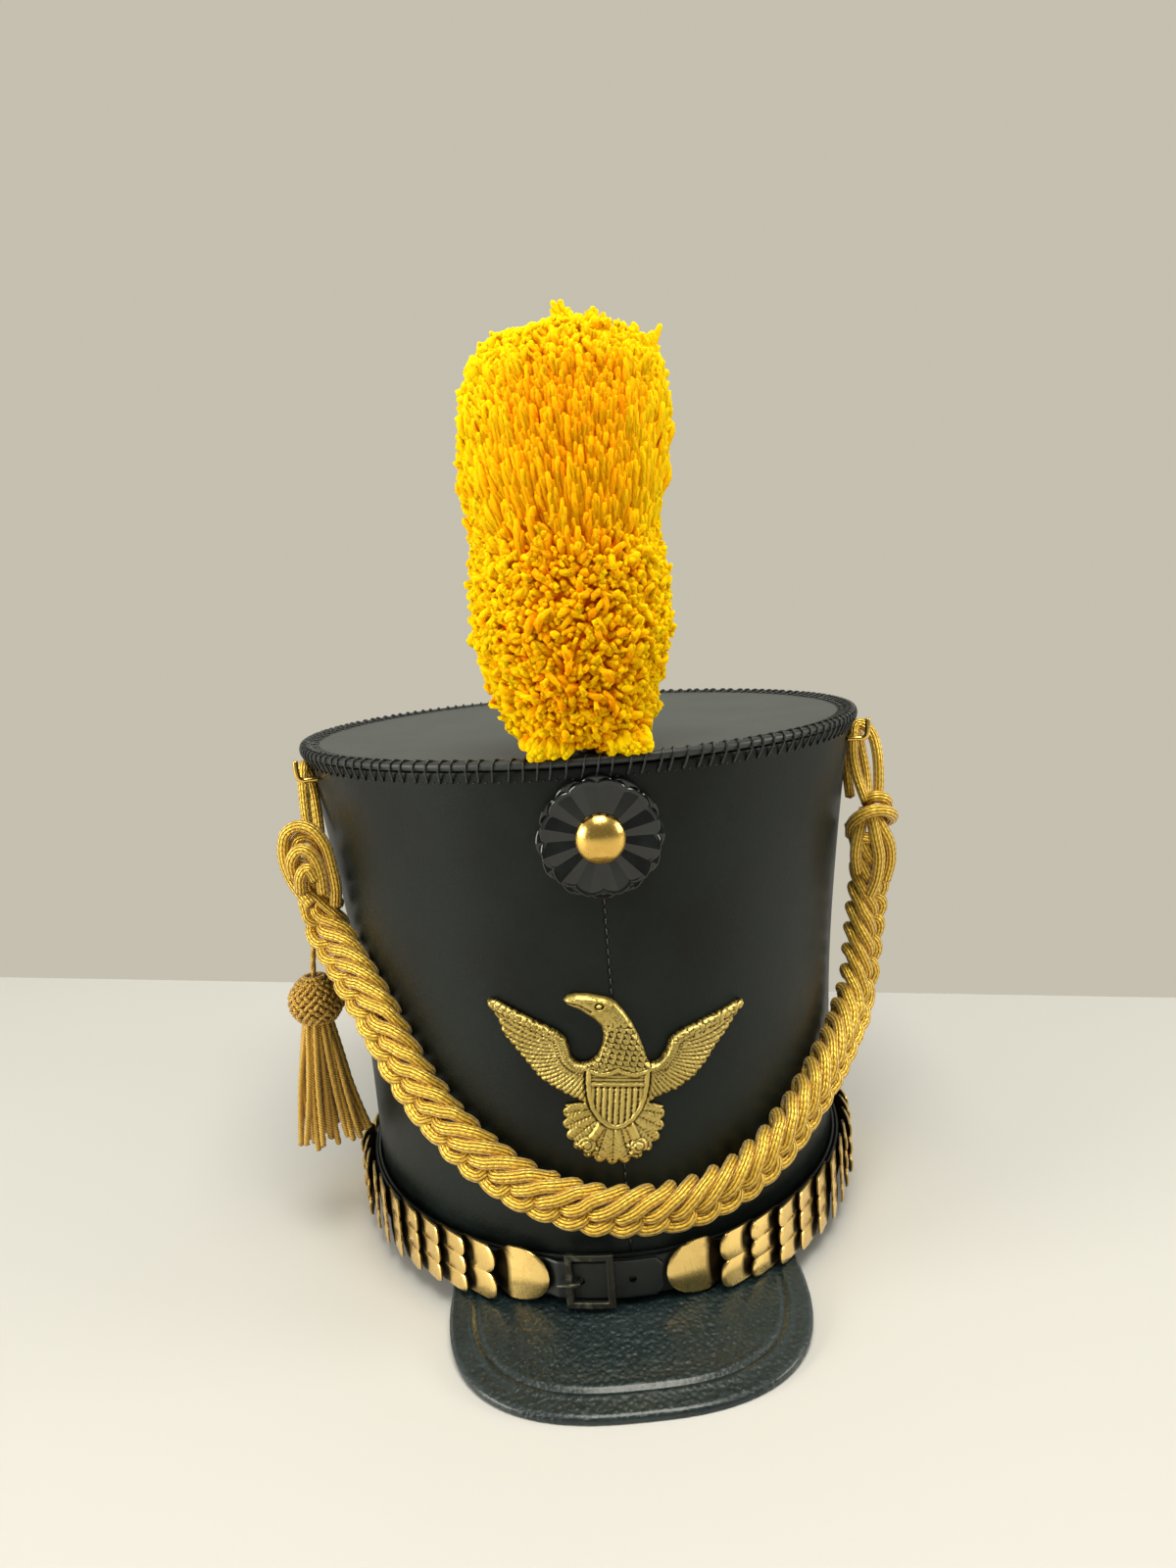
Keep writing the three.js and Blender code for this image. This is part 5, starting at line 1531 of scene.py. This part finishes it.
def fallen_tufts():
    """Two bunches that spill from the plume's foot over the front edge, with a gap between them."""
    count = 150
    side = np.where(np.arange(count) % 2, 1, -1)
    x = side * random.uniform(5.5, 16, count) - 1
    start = np.stack([x * 0.75, -108 - random.uniform(0, 4, count), random.uniform(170, 176, count)], -1)
    reach = random.uniform(0.5, 1, count)
    end = np.stack([x * 1.08, -113.5 - 5.5 * reach, 169.3 - 1.8 * reach + random.uniform(0, 3, count)], -1)
    path = bunch(start, end, 1.2)
    # the tint darkens towards the root as painted shade
    tint = random.normal(0.05, 0.1, (count, 1)) + np.array([0.2, 0.35, 0.5, 0.65, 0.8, 0.9])
    swell = random.uniform(1.0, 1.5, (count, 1)) * np.array([0.8, 0.9, 1, 1, 1, 0.6])
    return tubes(path, swell, 6, np.clip(tint, 0, 1))


def plume():
    """A woollen plume in three parts: cut yarn over a core, longer tufts at its peaks, fallen ones below."""
    wool = plume_wool()
    angle = np.linspace(0, 2 * np.pi, 40, endpoint=False)
    level = np.concatenate([[168.5], PLUME[1:-1, 0]])[:, None]
    core = plume_skin(angle, level, np.interp(level, [168.5, 190, 270, 285], [0.6, 0.86, 0.82, 0.5]))
    core = capped(core - (0, 0, 1) * np.interp(level, [250, 285], [0, 7])[..., None])
    for number, (name, (low, high)) in enumerate(PLUME_SPANS.items()):
        forms = [tufts(TUFTS[name], low, high, number * 1.7)]
        if name == "high":
            forms += [core, *[peak_tufts(*place) for place in PLUME_PEAKS]]
        if name == "low":
            forms.append(fallen_tufts())
        piece(f"plume_wool_{name}", joined(*forms), wool, ["plume"])


def plume_post():
    """The short post that the plume stands on."""
    low, top, r = STEM["low"], STEM["top"], STEM["r"]
    profile = [
        (0.3, low), (4.4, low), (4.6, 167.4), (4.3, 168.4), (r, 168.9), (r, top - 0.6), (2.4, top),
        (0.2, top),
    ]
    form = turned(profile, 28, (0, STEM["y"], 0), (0, 0, 1))
    piece("plume_post", form, STRAP_LEATHER, ["plume_stem"])


# ------------------------------------------------------------------ table and light
TABLE = {"reach": 1.5, "thick": 0.03, "back": 0.195, "turn": math.radians(-15.3)}


def table():
    """A pale table top that ends a little behind the hat, turned to the left about the hat's middle."""
    cos, sin = math.cos(TABLE["turn"]), math.sin(TABLE["turn"])
    reach, back = TABLE["reach"], TABLE["back"] * cos
    corners = [(x * cos - y * sin, x * sin + y * cos, z)
               for z in (-TABLE["thick"], 0) for y in (-reach, back) for x in (-reach, reach)]
    faces = [(0, 2, 3, 1), (4, 5, 7, 6), (0, 1, 5, 4), (1, 3, 7, 5), (3, 2, 6, 7), (2, 0, 4, 6)]
    mesh = bpy.data.meshes.new("table")
    mesh.from_pydata(corners, [], faces)
    finish = Finish("pale_table", Roughness=0.5)
    tone = finish.noise(3, 2, 0.5)
    finish.feed("Base Color", finish.colours(tone, (0.565, 0.55, 0.535), (0.60, 0.585, 0.57)))
    mesh.materials.append(finish.material)
    made = bpy.data.objects.new("table", mesh)
    bpy.context.scene.collection.objects.link(made)


LAMP_AIM, LAMP_COLOUR = (0, 0, 0.12), (1, 0.985, 0.87)
LAMPS = [       # name, place and width in metres, power in watts
    ("overhead", (0.05, -0.4, 1.15), 0.6, 13),
    ("left_window", (-1.1, -0.45, 0.42), 0.6, 11),
    ("right_window", (1.15, -0.25, 0.5), 0.5, 6),
]
WALL_COLOUR, ROOM_COLOUR = (0.56, 0.525, 0.433, 1), (0.60, 0.59, 0.525, 1)
ROOM_LIGHT = {"From Min": -0.7, "From Max": 0.5, "To Min": 0.30, "To Max": 1.0}


def lamp(name, place, size, power):
    """A square soft light at a place, turned to the hat."""
    data = bpy.data.lights.new(name, "AREA")
    data.size, data.energy, data.color = size, power, LAMP_COLOUR
    made = bpy.data.objects.new(name, data)
    made.location = place
    made.rotation_euler = (Vector(LAMP_AIM) - Vector(place)).to_track_quat("-Z", "Y").to_euler()
    bpy.context.scene.collection.objects.link(made)


def surroundings():
    """A warm grey room: an even wall to the eye, and a light on the hat that grows from front to back."""
    world = bpy.data.worlds.new("room")
    bpy.context.scene.world = world
    world.use_nodes = True
    tree = world.node_tree
    wall = tree.nodes["Background"]
    wall.inputs["Color"].default_value = WALL_COLOUR
    room = tree.nodes.new("ShaderNodeBackground")
    room.inputs["Color"].default_value = ROOM_COLOUR
    side = tree.nodes.new("ShaderNodeSeparateXYZ")
    tree.links.new(tree.nodes.new("ShaderNodeTexCoord").outputs["Generated"], side.inputs[0])
    shade = tree.nodes.new("ShaderNodeMapRange")
    for name, value in ROOM_LIGHT.items():
        shade.inputs[name].default_value = value
    tree.links.new(side.outputs["Y"], shade.inputs["Value"])
    tree.links.new(shade.outputs["Result"], room.inputs["Strength"])
    seen = tree.nodes.new("ShaderNodeMixShader")
    tree.links.new(tree.nodes.new("ShaderNodeLightPath").outputs["Is Camera Ray"], seen.inputs[0])
    tree.links.new(room.outputs[0], seen.inputs[1])
    tree.links.new(wall.outputs[0], seen.inputs[2])
    tree.links.new(seen.outputs[0], tree.nodes["World Output"].inputs["Surface"])
    bpy.context.scene.view_settings.view_transform = "Standard"


# ------------------------------------------------------------------ the whole scene
camera()
festoon()
tassel()
crown()
seam_stitches()
top()
welt()
whipping()
band()
peak()
strap()
buckle()
chin_scales()
rosette()
eagle()
plume()
plume_post()
table()
for settings in LAMPS:
    lamp(*settings)
surroundings()
